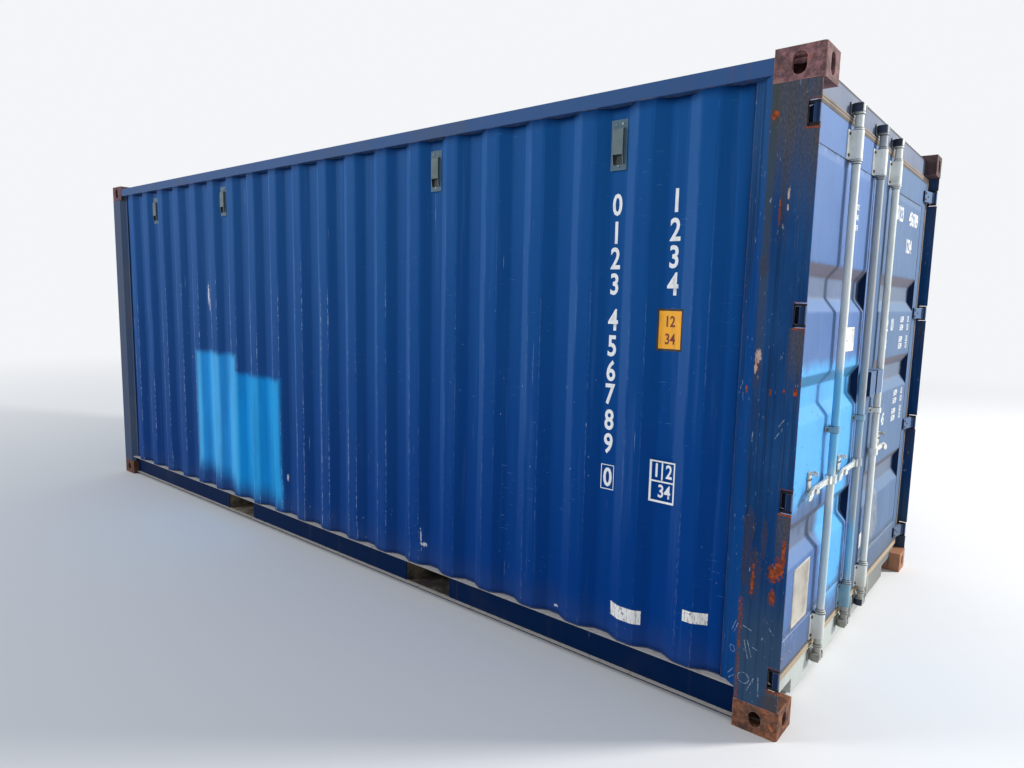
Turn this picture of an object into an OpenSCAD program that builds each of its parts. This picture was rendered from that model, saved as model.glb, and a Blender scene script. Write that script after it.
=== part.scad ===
// Twenty foot dry freight container with corrugated walls and a pair of rear doors.
// The origin is at the middle of its base. X runs to the door end, Y to the far side, Z up.
// Left is the -Y side, as seen by someone who stands outside and faces the doors.

/* [Overall] */
// Length over the corner fittings
length = 6058; // [5800:1:6500]
// Width over the corner fittings
width = 2438; // [2420:1:2500]
// Height over the corner fittings
height = 2591; // [2560:1:2700]
// How far the rails and walls stand inside the faces of the corner fittings
face_inset = 3; // [2:0.5:4]

/* [Corner fittings] */
// Length of a corner fitting along the container
fitting_l = 178; // [174:1:190]
// Width of a corner fitting across the container
fitting_w = 162; // [158:1:170]
// Height of a corner fitting
fitting_h = 118; // [114:1:124]
// Thickness of the face that a twistlock enters
fitting_lock_wall = 28; // [24:1:32]
// Thickness of the other walls of a fitting
fitting_wall = 14; // [10:1:18]
// Length of the twistlock hole
lock_hole_l = 124; // [110:1:126]
// Width of the twistlock hole
lock_hole_w = 63; // [56:1:66]
// Width of the hook hole in the side and end faces
hook_hole_w = 51; // [44:1:60]
// Height of the hook hole in a top fitting
hook_hole_top_h = 79; // [64:1:80]
// Height of the hook hole in a bottom fitting
hook_hole_bottom_h = 64; // [58:1:72]
// Radius of the rounded outer corner of a fitting
fitting_round = 14; // [8:1:20]

/* [Rails and posts] */
// Side of the square tube of the top side rails
top_rail = 60; // [50:1:70]
// Wall of the square tube
top_rail_wall = 3; // [2:0.5:6]
// Height of the top rails' middle above the middle of the top fittings
rail_rise = 3; // [0:0.5:6]
// Height from the base to the underside of the floor frame
frame_lift = 17; // [12:1:20]
// Height of the bottom side rail channel
bottom_rail_h = 148; // [140:1:156]
// Width of the upper flange of the bottom side rail
rail_top_flange = 48; // [44:1:52]
// Width of the lower flange of the bottom side rail
rail_low_flange = 30; // [20:1:40]
// Steel thickness of the bottom side rail
bottom_rail_t = 4.5; // [3:0.5:6]
// Pressed steel thickness of the corner posts
post_t = 6; // [5:0.5:8]
// Length of the rear post's outer plate from its rear lip to its bend
post_plate = 173; // [165:1:180]
// How far the rear post's lip stands in front of the fitting's end face
post_lip = 6; // [4:1:12]
// Run of the post's bend along the container
post_bend = 50; // [40:1:60]
// Length of the flange that laps over the side wall
post_lap = 20; // [12:1:26]
// Length of the channel welded inside the rear post
post_channel_l = 113; // [100:1:118]
// Depth of that channel
post_channel_w = 43; // [40:1:46]
// Thickness of that channel
post_channel_t = 12; // [8:1:14]
// Plate length of the front post on its side face
front_post_side = 140; // [120:1:160]
// Plate length of the front post on its end face
front_post_end = 110; // [90:1:112]

/* [Walls and roof] */
// Steel thickness of the side walls
wall_t = 2; // [1.5:0.5:2.5]
// Depth of the side wall corrugation
wave_depth = 36; // [30:1:38]
// Width of the outer face of a side corrugation
wave_ridge = 72; // [60:1:80]
// Run of each slope of a side corrugation
wave_slope = 68; // [50:1:72]
// Width of the inner face of a side corrugation
wave_groove = 70; // [60:1:80]
// Distance from the rear fitting face to the first corrugation
first_ridge = 377; // [370:1:385]
// Steel thickness of the front wall
front_wall_t = 2; // [1.5:0.5:3]
// Depth of the front wall corrugation
front_depth = 45; // [36:1:48]
// Width of each face of a front corrugation
front_face = 108; // [90:1:120]
// Run of each slope of a front corrugation
front_slope = 18; // [14:1:30]
// Steel thickness of the roof
roof_t = 2; // [1.5:0.5:3]
// Height of the roof corrugation
roof_rise = 16; // [10:1:18]
// Width of each face of a roof corrugation
roof_face = 91; // [80:1:110]
// Run of each slope of a roof corrugation
roof_slope = 14; // [10:1:20]
// Plain margin round the corrugated field of the roof
roof_margin = 70; // [50:1:110]

/* [Floor frame] */
// Thickness of the floor boards
floor_t = 28; // [24:1:32]
// Width of the flange of a cross member
cross_flange = 45; // [30:1:50]
// Steel thickness of a cross member
cross_t = 4; // [3:0.5:6]
// Spacing of the cross members
cross_pitch = 296; // [250:1:330]
// Distance between the centres of the fork pockets
pocket_pitch = 2050; // [1900:1:2100]
// Width of a fork pocket
pocket_w = 352; // [330:1:380]
// Steel thickness of a fork pocket
pocket_t = 4; // [3:0.5:6]
// Width of the strap under each mouth of a fork pocket
pocket_strap = 200; // [120:1:300]

/* [Door frame] */
// Distance from the rear fitting face to the faces of the posts, header and sill
frame_back = 64; // [62:0.5:68]
// Distance of the header's underside below the undersides of the top fittings
header_drop = 26; // [22:1:60]
// Depth of the header and sill along the container
header_depth = 108; // [90:1:112]
// Steel thickness of the header and sill
header_t = 4; // [3:0.5:6]
// Width of the relief cut in the sill beside each bottom fitting
sill_relief_w = 200; // [120:1:260]
// Height of the relief cut
sill_relief_h = 68; // [40:1:80]

/* [Doors] */
// Distance from the rear fitting face to the outer face of the doors
door_back = 60; // [58:0.5:61]
// Depth of the door leaf
door_depth = 50; // [46:1:54]
// Gap between the door leaf and the opening
leaf_gap = 12; // [10:0.5:14]
// How much wider that gap is under the leaf
leaf_lift = 6; // [4:0.5:8]
// Gap between the leaf and the middle of the opening
leaf_mid_gap = 14; // [13:0.5:18]
// Width of the upright tube on the hinge side of a door
hinge_stile_w = 105; // [80:1:120]
// Width of the upright tube on the lock side of a door
lock_stile_w = 136; // [100:1:140]
// Height of the top and bottom members of a door
member_h = 145; // [120:1:150]
// Wall of the door's tubes and channels
door_tube_t = 3; // [2:0.5:5]
// Steel thickness of a door panel
panel_t = 2; // [1.5:0.5:3]
// Depth of the recesses in a door panel
recess_depth = 36; // [24:1:40]
// Height of a recess over its slopes
recess_h = 196; // [150:1:210]
// Run of each slope of a recess
recess_slope = 58; // [40:1:64]
// Height of the middle of the lowest recess above the base
recess_low_z = 713; // [700:1:730]
// Distances of the middles of the two upper recesses below the header
recess_drop = [1137, 689]; // [600:1:1160]
// Thickness of the gasket foot round a leaf
gasket_foot = 9; // [7:0.5:9.5]
// Thickness of the gasket lip
gasket_lip_t = 7.5; // [5:0.5:9]
// How far the gasket lip laps over the frame
gasket_lap = 14; // [8:0.5:15]
// How much further the lip laps over the sill
sill_lap = 8; // [0:0.5:12]
// How much further the lip laps over the header
header_lap = 6; // [0:0.5:7]

/* [Hinges] */
// Heights of the middles of the two lower hinges above the base
hinge_low_z = [245, 955]; // [240:1:1000]
// Distances of the middles of the two upper hinges below the header
hinge_drop = [797, 92]; // [88:1:820]
// Radius of a hinge pin
pin_r = 8; // [6:0.5:8.5]
// Radius of a hinge knuckle
knuckle_r = 13; // [12:0.5:13.5]
// Height of a hinge blade
blade_h = 64; // [50:1:68]
// Thickness of a hinge blade
blade_t = 12; // [8:0.5:12.5]
// Length of the blade on the door leaf
blade_seat = 86; // [60:1:94]
// Thickness of each lug that carries the pin
lug_t = 10; // [8:0.5:10.5]
// Height of the notch in the post for a hinge
notch_h = 92; // [90:1:98]
// Distance from a hinge pin to the inner edge of its notch
notch_in = 30; // [28:1:34]
// Distance of the pin from the face of the frame
pin_out = 44; // [43:0.5:45]
// Distance of the pin from the side plane
pin_in = 14; // [14:0.5:15]

/* [Locking bars] */
// Radius of a locking bar
bar_r = 17; // [14:0.5:17]
// Distance of a bar's axis from the outer face of the doors
bar_out = 29; // [27:0.5:30]
// Distance of the outer bar from the middle of the doors
bar_outer_y = 612; // [560:1:640]
// Distance of the inner bars from the middle of the doors
bar_inner_y = 168; // [150:1:190]
// Thickness of the bar brackets
bracket_t = 5; // [4:0.5:5.5]
// Height of the long brackets near the ends of a bar
bracket_h = 116; // [90:1:118]
// Distance of the lower long bracket from the foot of a leaf
bracket_edge = 4; // [2:1:10]
// Distance of the upper long bracket from the top of a leaf
bracket_top_edge = 26; // [20:1:34]
// Half the width of a long bracket over its flanges
bracket_half_w = 54; // [48:1:60]
// Height of the middle strap
strap_h = 26; // [16:1:40]
// Height of the middle strap above the base
strap_z = 1150; // [1100:1:1200]
// Radius of the cam's round head
cam_r = 20; // [17:0.5:20.5]
// Reach of the cam's tooth from the bar axis
cam_tooth = 27; // [24:0.5:27.5]
// Height of a cam
cam_h = 30; // [20:1:34]
// Distance of the middle of the upper cam below the edge of the roof
cam_top_drop = 68; // [60:1:72]
// Height of the lower cam above the base
cam_low_z = 104; // [96:1:108]
// Inner radius of a keeper's jaws
jaw_in = 30; // [29.5:0.5:31]
// Thickness of a keeper's jaws
jaw_t = 5; // [4:0.5:7]
// Radius of the wide collars that hold a bar between its brackets
collar_r = 24; // [20:0.5:26]
// Height of a collar
collar_h = 8; // [5:1:12]
// Distance of the guard plate from the axis of an inner bar
guard_y = 50; // [48:0.5:52]
// Reach of the guard plate in front of the door
guard_out = 50; // [30:1:56]
// Thickness of the guard plate
guard_t = 4; // [3:0.5:5]

/* [Handles] */
// Length of a handle from the bar axis to its tip
handle_l = 320; // [280:1:360]
// Height of a handle's flat bar
handle_h = 26; // [18:1:28]
// Thickness of a handle
handle_t = 10; // [8:0.5:10]
// Height of the handles above the base
handle_z = 930; // [910:1:960]
// Distance from the bar axis to the handle's pivot
handle_pivot = 36; // [34:0.5:42]
// Radius of the handle's pivot pin
handle_pin_r = 6; // [4:0.5:6]
// Radius of the eye at the handle's pivot
handle_eye = 16; // [13:0.5:17]
// How far the grip hangs below the rest of the handle
grip_drop = 24; // [0:1:30]
// Distance from the bar axis to the middle of the handle's catch
catch_reach = 225; // [200:1:240]
// Height of the catch's upper finger above the handle
finger_up = 62; // [60:1:70]
// Width of a handle catch
catch_w = 40; // [30:1:50]

/* [Lock box] */
// Height of the lock box
lock_box_h = 120; // [100:1:130]
// Height of the middle of the lock box above the base
lock_box_z = 1310; // [1290:1:1330]
// Depth of the lock box in front of the door
lock_box_d = 52; // [50:0.5:56]
// Steel thickness of the lock box
lock_box_t = 4; // [3:0.5:4]
// Reach of the lock box on the left door
lock_box_left = 120; // [80:1:140]
// Reach of the lock box on the right door
lock_box_right = 130; // [80:1:140]

/* [Vents] */
// Grooves that hold the vents near the doors, counted from the doors
vent_rear_grooves = [1, 5]; // [1:1:8]
// Grooves that hold the vents near the front, counted from the front
vent_front_grooves = [3, 7]; // [2:1:9]
// Width of a vent's flange
vent_w = 78; // [50:1:80]
// Height of a vent's flange
vent_h = 208; // [180:1:220]
// Distance of the middle of a vent below the top side rail
vent_drop = 160; // [125:1:200]
// Thickness of a vent's flange
vent_flange = 4.5; // [4:0.5:5]
// Width of a vent's hood
hood_w = 50; // [40:1:56]
// Depth of a vent's hood in front of its flange
hood_out = 14; // [12:1:28]
// Height of the top of the hood above the middle of the vent
hood_top = 70; // [60:1:80]
// Depth of the foot of the hood below the middle of the vent
hood_foot = 80; // [70:1:90]
// Height of the opening in the lower part of the hood's face
hood_mouth = 40; // [30:1:60]
// Thickness of a hood
hood_t = 3; // [2:0.5:4]

/* [Clearances] */
// Running clearance round a hinge pin or handle pin
pin_gap = 0.1; // [0.05:0.05:0.5]
// Running clearance round a locking bar in its brackets
bar_gap = 0.3; // [0.2:0.05:0.8]
// Gap between a moving face and the face that it runs along
face_gap = 1; // [0.5:0.1:1.5]
// Gap between a gasket lip and the frame
lip_gap = 0.5; // [0.3:0.1:1]
// Gap between the floor boards and the steel round them
floor_gap = 0.5; // [0.3:0.1:2]

/* [Hidden] */
half_l = length / 2;
half_w = width / 2;
fitting_x = half_l - fitting_l;
fitting_y = half_w - fitting_w;
fitting_top_z = height - fitting_h;
side_y = half_w - face_inset;
end_x = half_l - face_inset;
rail_top_z = fitting_top_z + (fitting_h - top_rail) / 2 + rail_rise;
rail_under_z = rail_top_z;
roof_z = rail_top_z + top_rail;
sill_z = frame_lift + bottom_rail_h;
web_y = side_y - rail_top_flange;
wall_in_y = side_y - wave_depth;
floor_under_z = sill_z + 2 - floor_t;
floor_top_z = floor_under_z + floor_t;
cross_h = floor_under_z - frame_lift;
frame_x = half_l - frame_back;
door_x = half_l - door_back;
leaf_back_x = door_x - door_depth;
open_y = half_w - post_t - post_channel_w;
open_z0 = floor_top_z;
open_z1 = fitting_top_z - header_drop;
leaf_y1 = open_y - leaf_gap;
leaf_z0 = open_z0 + leaf_gap + leaf_lift;
leaf_z1 = open_z1 - leaf_gap;
lip_z0 = open_z0 - gasket_lap - sill_lap;
lip_z1 = open_z1 + gasket_lap + header_lap;
pin_x = frame_x + pin_out;
pin_y = half_w - pin_in;
bar_x = door_x + bar_out;
post_lip_x = half_l - post_lip;
post_bend_x = post_lip_x - post_plate;
post_lap_x = post_bend_x - post_bend;
lap_y = half_w - wave_depth - face_inset + post_t;
ridge_x = half_l - first_ridge;
wave_pitch = wave_ridge + 2 * wave_slope + wave_groove;
front_bend_x = -end_x + front_post_side;
front_lap_x = front_bend_x + post_bend;
last_slope_x = front_lap_x + post_lap;
ridge_count = 1 + floor((ridge_x - wave_ridge - wave_slope - last_slope_x) / wave_pitch);
front_in_x = -end_x + front_depth;
front_lap_y = side_y - front_post_end - front_depth;
bearing_z = [
    leaf_z0 + bracket_edge + bracket_h / 2, strap_z, leaf_z1 - bracket_top_edge - bracket_h / 2
];
panel_y0 = leaf_mid_gap + lock_stile_w;
panel_y1 = leaf_y1 - hinge_stile_w;
panel_z0 = leaf_z0 + member_h;
panel_z1 = leaf_z1 - member_h;
hinge_z = concat(hinge_low_z, [for (d = hinge_drop) open_z1 - d]);
recess_z = concat([recess_low_z], [for (d = recess_drop) open_z1 - d]);
cam_top_z = roof_z - cam_top_drop;
vent_z = rail_under_z - vent_drop;
vent_grooves = concat(vent_rear_grooves, [for (g = vent_front_grooves) ridge_count - g]);
ring_r = (collar_r + bar_r) / 2;
arm_h = handle_h / 2 - 3;
$fn = 32;

// Corner positions of the four fittings of one level, as signs along X and Y
CORNERS = [[-1, -1], [-1, 1], [1, -1], [1, 1]];

function unit(v) = v / norm(v);
function left_normal(a, b) = let (u = unit(b - a)) [-u[1], u[0]];
function side_point(p, i, t) =
    let (
        last = len(p) - 1,
        n1 = left_normal(p[max(i - 1, 0)], p[max(i, 1)]),
        n2 = left_normal(p[min(i, last - 1)], p[min(i + 1, last)])
    )
    p[i] + (n1 + n2) * t / (1 + n1 * n2);
// Outline of a folded sheet of thickness t whose one face follows the path p
function folded(p, t) = concat(p, [for (i = [len(p) - 1:-1:0]) side_point(p, i, t)]);

// Rectangle of size a by b with its outer corner, at [a, b], rounded
function rounded_corner(a, b, r) = concat(
    [[0, 0], [a, 0]],
    [for (i = [0:6]) [a - r + r * cos(i * 15), b - r + r * sin(i * 15)]],
    [[0, b]]
);

// Draws its children for the left side as written, and mirrored for the right side
module on_side(side) {
    mirror([0, side > 0 ? 1 : 0, 0]) children();
}

module box(x0, x1, y0, y1, z0, z1) {
    translate([min(x0, x1), min(y0, y1), min(z0, z1)])
        cube([abs(x1 - x0), abs(y1 - y0), abs(z1 - z0)]);
}

// Slot with round ends, drilled along Z, with its long side along X
module slot(l, w, h) {
    for (s = [-1, 1]) translate([s * (l - w) / 2, 0, 0]) cylinder(d = w, h = h, center = true);
    cube([l - w, w, h], center = true);
}

// Outline extruded across the container along Y; its points are [x, z]
module across(points, y0, y1) {
    translate([0, y1, 0]) rotate([90, 0, 0]) linear_extrude(y1 - y0) polygon(points);
}

// Outline extruded along the container along X; its points are [y, z]
module along(points, x0, x1) {
    translate([x0, 0, 0]) rotate([90, 0, 90]) linear_extrude(x1 - x0) polygon(points);
}

// One fitting for the corner at +X and +Y, with its lock face down at z = 0
module corner_fitting(hook_h) {
    wall = fitting_wall;
    difference() {
        linear_extrude(fitting_h) polygon(rounded_corner(fitting_l, fitting_w, fitting_round));
        box(wall, fitting_l - wall, wall, fitting_w - wall, fitting_lock_wall, fitting_h - wall);
        translate([fitting_l / 2, fitting_w / 2, 0]) slot(lock_hole_l, lock_hole_w, 2 * fitting_lock_wall + 2);
        translate([fitting_l / 2, fitting_w, fitting_h / 2])
            rotate([0, 90, 90]) slot(hook_h, hook_hole_w, 2 * wall + 2);
        translate([fitting_l, fitting_w / 2, fitting_h / 2])
            rotate([0, 90, 0]) slot(hook_h, hook_hole_w, 2 * wall + 2);
    }
}

module top_fittings() {
    color([0.45, 0.27, 0.22])
        for (c = CORNERS)
            translate([0, 0, height]) mirror([0, 0, 1])
                mirror([c[0] < 0 ? 1 : 0, 0, 0]) mirror([0, c[1] < 0 ? 1 : 0, 0])
                    translate([fitting_x, fitting_y, 0]) corner_fitting(hook_hole_top_h);
}

module bottom_fittings() {
    color([0.45, 0.27, 0.22])
        for (c = CORNERS)
            mirror([c[0] < 0 ? 1 : 0, 0, 0]) mirror([0, c[1] < 0 ? 1 : 0, 0])
                translate([fitting_x, fitting_y, 0]) corner_fitting(hook_hole_bottom_h);
}

// Post outline drawn upright: over the fitting's footprint between the fittings, elsewhere from rail to rail
module upright(foot_x, foot_y) {
    translate([0, 0, fitting_h]) linear_extrude(fitting_top_z - fitting_h) intersection() {
        children();
        translate([min(foot_x, 2 * foot_x), -2 * half_w]) square([abs(foot_x), 2 * half_w - foot_y]);
    }
    translate([0, 0, sill_z]) linear_extrude(rail_under_z - sill_z) difference() {
        children();
        translate([min(foot_x, 2 * foot_x), -2 * half_w]) square([abs(foot_x), 2 * half_w - foot_y]);
    }
}

// Pressed outer plate and welded inner channel, with a notch for each hinge
module rear_post() {
    plate = [
        [post_lip_x, -half_w], [post_bend_x, -half_w],
        [post_lap_x, -lap_y], [post_lap_x - post_lap, -lap_y]
    ];
    sunk = post_t / 2;
    difference() {
        upright(fitting_x, 0) union() {
            polygon(folded(plate, -post_t));
            translate([frame_x - post_channel_l, -half_w + post_t - sunk]) difference() {
                square([post_channel_l, post_channel_w + sunk]);
                translate([post_channel_t, -1])
                    square([post_channel_l - 2 * post_channel_t, post_channel_w + sunk - post_channel_t + 1]);
            }
        }
        for (z = hinge_z)
            box(pin_x - notch_in, half_l, -half_w - 1, -half_w + post_t + 0.01,
                z - notch_h / 2, z + notch_h / 2);
    }
}

module front_post() {
    in_x = -end_x + front_depth - post_t;
    plate = [
        [front_lap_x + post_lap, -lap_y], [front_lap_x, -lap_y], [front_bend_x, -side_y],
        [-end_x, -side_y], [-end_x, -side_y + front_post_end],
        [in_x, -front_lap_y], [in_x, -front_lap_y + post_lap]
    ];
    upright(-fitting_x, fitting_y) polygon(folded(plate, -post_t));
}

module left_rear_post() { color([0.18, 0.25, 0.36]) rear_post(); }
module right_rear_post() { color([0.18, 0.25, 0.36]) on_side(1) rear_post(); }
module left_front_post() { color([0.18, 0.25, 0.36]) front_post(); }
module right_front_post() { color([0.18, 0.25, 0.36]) on_side(1) front_post(); }

// Square tube between the top fittings of one side
module top_side_rail() {
    t = top_rail_wall;
    difference() {
        box(-fitting_x, fitting_x, -side_y, -side_y + top_rail, rail_top_z, roof_z);
        box(-fitting_x - 1, fitting_x + 1, -side_y + t, -side_y + top_rail - t, rail_top_z + t, roof_z - t);
    }
}

module left_top_rail() { color([0.27, 0.33, 0.42]) top_side_rail(); }
module right_top_rail() { color([0.27, 0.33, 0.42]) on_side(1) top_side_rail(); }

// Channel open to the outside, cut through at the fork pockets
module bottom_side_rail() {
    t = bottom_rail_t;
    low_y = web_y + rail_low_flange;
    outline = [
        [-side_y, sill_z - t], [-side_y, sill_z], [-web_y, sill_z], [-web_y, frame_lift],
        [-low_y, frame_lift], [-low_y, frame_lift + t], [-web_y - t, frame_lift + t], [-web_y - t, sill_z - t]
    ];
    difference() {
        along(outline, -fitting_x, fitting_x);
        for (s = [-1, 1])
            translate([s * pocket_pitch / 2, 0, 0])
                box(-pocket_w / 2, pocket_w / 2, -side_y - 1, -web_y + 1,
                    frame_lift + pocket_t + 2, floor_under_z - pocket_t);
    }
}

module left_bottom_rail() { color([0.07, 0.16, 0.3]) bottom_side_rail(); }
module right_bottom_rail() { color([0.07, 0.16, 0.3]) on_side(1) bottom_side_rail(); }

// Square tube between the front top fittings
module front_top_rail() {
    t = top_rail_wall;
    color([0.27, 0.33, 0.42]) difference() {
        box(-end_x, -end_x + top_rail, -fitting_y, fitting_y, rail_top_z, roof_z);
        box(-end_x + t, -end_x + top_rail - t, -fitting_y - 1, fitting_y + 1, rail_top_z + t, roof_z - t);
    }
}

// Channel between the front bottom fittings, open to the inside
module front_sill() {
    t = bottom_rail_t;
    color([0.07, 0.16, 0.3]) difference() {
        box(-end_x, -end_x + top_rail, -fitting_y, fitting_y, frame_lift, sill_z);
        box(-end_x + t, -end_x + top_rail + 1, -fitting_y - 1, fitting_y + 1, frame_lift + t, sill_z - t);
    }
}

// Box section over the doors, with shoulders under the top fittings
module door_header() {
    t = header_t;
    shoulder_y = open_y - face_gap / 2;
    color([0.5, 0.57, 0.75]) difference() {
        union() {
            box(frame_x - header_depth, frame_x, -fitting_y, fitting_y, open_z1, roof_z);
            box(frame_x - header_depth, frame_x, -shoulder_y, shoulder_y, open_z1, fitting_top_z);
        }
        box(frame_x - header_depth + t, frame_x - t, -fitting_y - 1, fitting_y + 1, open_z1 + t, roof_z - t);
        box(frame_x - header_depth + t, frame_x - t, -open_y - 1, open_y + 1, open_z1 + t, fitting_top_z - t);
    }
}

// Box section under the doors, with a relief cut beside each bottom fitting
module door_sill() {
    t = header_t;
    shoulder_y = open_y - face_gap / 2;
    color([0.5, 0.52, 0.55]) difference() {
        union() {
            box(frame_x - header_depth, frame_x, -fitting_y, fitting_y, frame_lift, floor_top_z);
            box(frame_x - header_depth, frame_x, -shoulder_y, shoulder_y, fitting_h, floor_top_z);
        }
        difference() {
            union() {
                box(frame_x - header_depth + t, frame_x - t, -fitting_y - 1, fitting_y + 1,
                    frame_lift + t, floor_top_z - t);
                box(frame_x - header_depth + t, frame_x - t, -open_y - 1, open_y + 1,
                    fitting_h + t, floor_top_z - t);
            }
            for (s = [-1, 1])
                box(frame_x - header_depth, frame_x, s * (fitting_y + 1), s * (fitting_y - sill_relief_w - t),
                    frame_lift, frame_lift + sill_relief_h + t);
        }
        for (s = [-1, 1])
            box(frame_x - header_depth + t, frame_x + 1, s * (fitting_y + 1), s * (fitting_y - sill_relief_w),
                frame_lift - 1, frame_lift + sill_relief_h);
    }
}

// Corrugated sheet from the rear post to the front post
module side_wall() {
    wave = [for (k = [0:ridge_count - 1]) let (x = ridge_x - k * wave_pitch) each [
        [x + wave_slope, -wall_in_y], [x, -side_y],
        [x - wave_ridge, -side_y], [x - wave_ridge - wave_slope, -wall_in_y]
    ]];
    path = concat([[post_lap_x - 5, -wall_in_y]], wave, [[front_lap_x + 5, -wall_in_y]]);
    translate([0, 0, sill_z]) linear_extrude(rail_under_z - sill_z) polygon(folded(path, -wall_t));
}

module left_wall() { color([0.1, 0.27, 0.5]) side_wall(); }
module right_wall() { color([0.1, 0.27, 0.5]) on_side(1) side_wall(); }

// Corrugated sheet between the front posts, with its middle on an outer face
module front_wall() {
    pitch = 2 * (front_face + front_slope);
    half = front_lap_y - 5;
    count = floor((half - front_face / 2 - front_slope) / pitch);
    wave = [for (k = [-count:count]) let (y = k * pitch) each [
        [front_in_x, y - front_face / 2 - front_slope], [-end_x, y - front_face / 2],
        [-end_x, y + front_face / 2], [front_in_x, y + front_face / 2 + front_slope]
    ]];
    path = concat([[front_in_x, -half]], wave, [[front_in_x, half]]);
    color([0.1, 0.27, 0.5])
        translate([0, 0, sill_z]) linear_extrude(rail_under_z - sill_z) polygon(folded(path, -front_wall_t));
}

// Everything under the roof's outer surface when lowered by drop
module under_roof(drop) {
    x0 = -end_x + 10;
    x1 = frame_x - 5;
    y1 = side_y - 5;
    pitch = 2 * (roof_face + roof_slope);
    field = x1 - x0 - 2 * roof_margin;
    count = floor(field / pitch);
    start = (x0 + x1) / 2 - count * pitch / 2 + roof_face / 2 + roof_slope;
    low = roof_z + roof_t - drop;
    high = low + roof_rise;
    base = roof_z - top_rail / 2;
    ribs = [for (k = [0:count - 1]) let (x = start + k * pitch) each [
        [x - roof_slope, low], [x, high], [x + roof_face, high], [x + roof_face + roof_slope, low]
    ]];
    intersection() {
        across(concat([[x0, base], [x0, low]], ribs, [[x1, low], [x1, base]]), -y1, y1);
        along([
            [-y1, base], [-y1, low], [-y1 + roof_margin, low], [-y1 + roof_margin + 2 * roof_slope, high],
            [y1 - roof_margin - 2 * roof_slope, high], [y1 - roof_margin, low], [y1, low], [y1, base]
        ], x0 - 1, x1 + 1);
    }
}

module roof() {
    color([0.3, 0.36, 0.45]) difference() {
        under_roof(0);
        under_roof(roof_t);
        for (c = CORNERS)
            box(c[0] * (fitting_x - floor_gap), c[0] * half_l, c[1] * (fitting_y - floor_gap), c[1] * half_w,
                roof_z - top_rail, height);
    }
}

module floor() {
    x0 = -end_x + top_rail + floor_gap;
    x1 = frame_x - header_depth - floor_gap;
    color([0.42, 0.3, 0.2])
        box(x0, x1, -web_y + floor_gap, web_y - floor_gap, floor_under_z, floor_top_z);
}

// Channels under the floor from rail to rail, left out where a fork pocket takes their place
module cross_members() {
    t = cross_t;
    y1 = web_y - floor_gap;
    clear = pocket_w / 2 + pocket_t + 5;
    half_count = floor((fitting_x - 20) / cross_pitch);
    outline = [
        [0, frame_lift], [cross_flange, frame_lift], [cross_flange, frame_lift + t], [t, frame_lift + t],
        [t, floor_under_z - t], [cross_flange, floor_under_z - t],
        [cross_flange, floor_under_z], [0, floor_under_z]
    ];
    color([0.08, 0.12, 0.2])
        for (k = [-half_count:half_count]) {
            x = k * cross_pitch - cross_flange / 2;
            gap = abs(abs(k * cross_pitch) - pocket_pitch / 2);
            if (gap > clear + cross_flange / 2) translate([x, 0, 0]) across(outline, -y1, y1);
        }
}

// Tunnel for a fork: top plate, two sides and a strap under each mouth
module fork_pocket() {
    t = pocket_t;
    y1 = web_y - floor_gap;
    top_z = floor_under_z;
    difference() {
        box(-pocket_w / 2 - t, pocket_w / 2 + t, -y1, y1, frame_lift, top_z);
        box(-pocket_w / 2, pocket_w / 2, -y1 - 1, y1 + 1, frame_lift + t + 2, top_z - t);
        box(-pocket_w / 2, pocket_w / 2, -y1 + pocket_strap, y1 - pocket_strap, frame_lift - 1, top_z - t);
    }
}

module fork_pockets() {
    color([0.3, 0.24, 0.2])
        for (s = [-1, 1]) translate([s * pocket_pitch / 2, 0, 0]) fork_pocket();
}

// Flange and hood in a groove of the wall; the hood is open at its foot and in the lower part of its face.
// The back of the flange is cut away where it stands over the slopes beside the groove.
module vent() {
    seat = min(vent_w, wave_groove) / 2 - 0.5;
    lift = max(vent_w - wave_groove, 0) / 2 * wave_depth / wave_slope + 0.8;
    front = vent_flange + hood_out;
    bend = 8;
    mouth_z = hood_mouth - hood_foot;
    hood = [
        [-vent_flange, -hood_foot], [-vent_flange - bend, -hood_foot], [-front, mouth_z],
        [-front, hood_top - bend], [-front + bend, hood_top], [-vent_flange, hood_top]
    ];
    hollow = [
        [-vent_flange, -hood_foot - 1], [-front - 1, -hood_foot - 1], [-front - 1, mouth_z],
        [-front + hood_t, mouth_z], [-front + hood_t, hood_top - bend - hood_t],
        [-front + bend, hood_top - hood_t], [-vent_flange, hood_top - hood_t]
    ];
    translate([0, -wall_in_y, vent_z]) {
        linear_extrude(vent_h, center = true) polygon([
            [-seat, 0], [-vent_w / 2, -lift], [-vent_w / 2, -vent_flange],
            [vent_w / 2, -vent_flange], [vent_w / 2, -lift], [seat, 0]
        ]);
        difference() {
            along(hood, -hood_w / 2, hood_w / 2);
            along(hollow, -hood_w / 2 + hood_t, hood_w / 2 - hood_t);
        }
    }
}

module side_vents() {
    groove_x = ridge_x - wave_ridge - wave_slope - wave_groove / 2;
    color([0.36, 0.42, 0.42])
        for (s = [-1, 1]) on_side(s) for (g = vent_grooves)
            translate([groove_x - g * wave_pitch, 0, 0]) vent();
}

// Two lugs and the pin between them, welded into the pocket of the rear post
module hinge_lug_pair() {
    gap = blade_h / 2 + face_gap;
    post_y = half_w - post_t;
    for (s = [-1, 1]) {
        z0 = s > 0 ? gap : -gap - lug_t;
        translate([0, 0, z0]) linear_extrude(lug_t) {
            translate([frame_x, -post_y]) square([pin_out, post_y - pin_y + knuckle_r - 1]);
            translate([pin_x, -pin_y]) circle(knuckle_r - 1);
        }
    }
    translate([pin_x, -pin_y, -gap - 1]) cylinder(r = pin_r, h = 2 * gap + 2);
}

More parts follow.
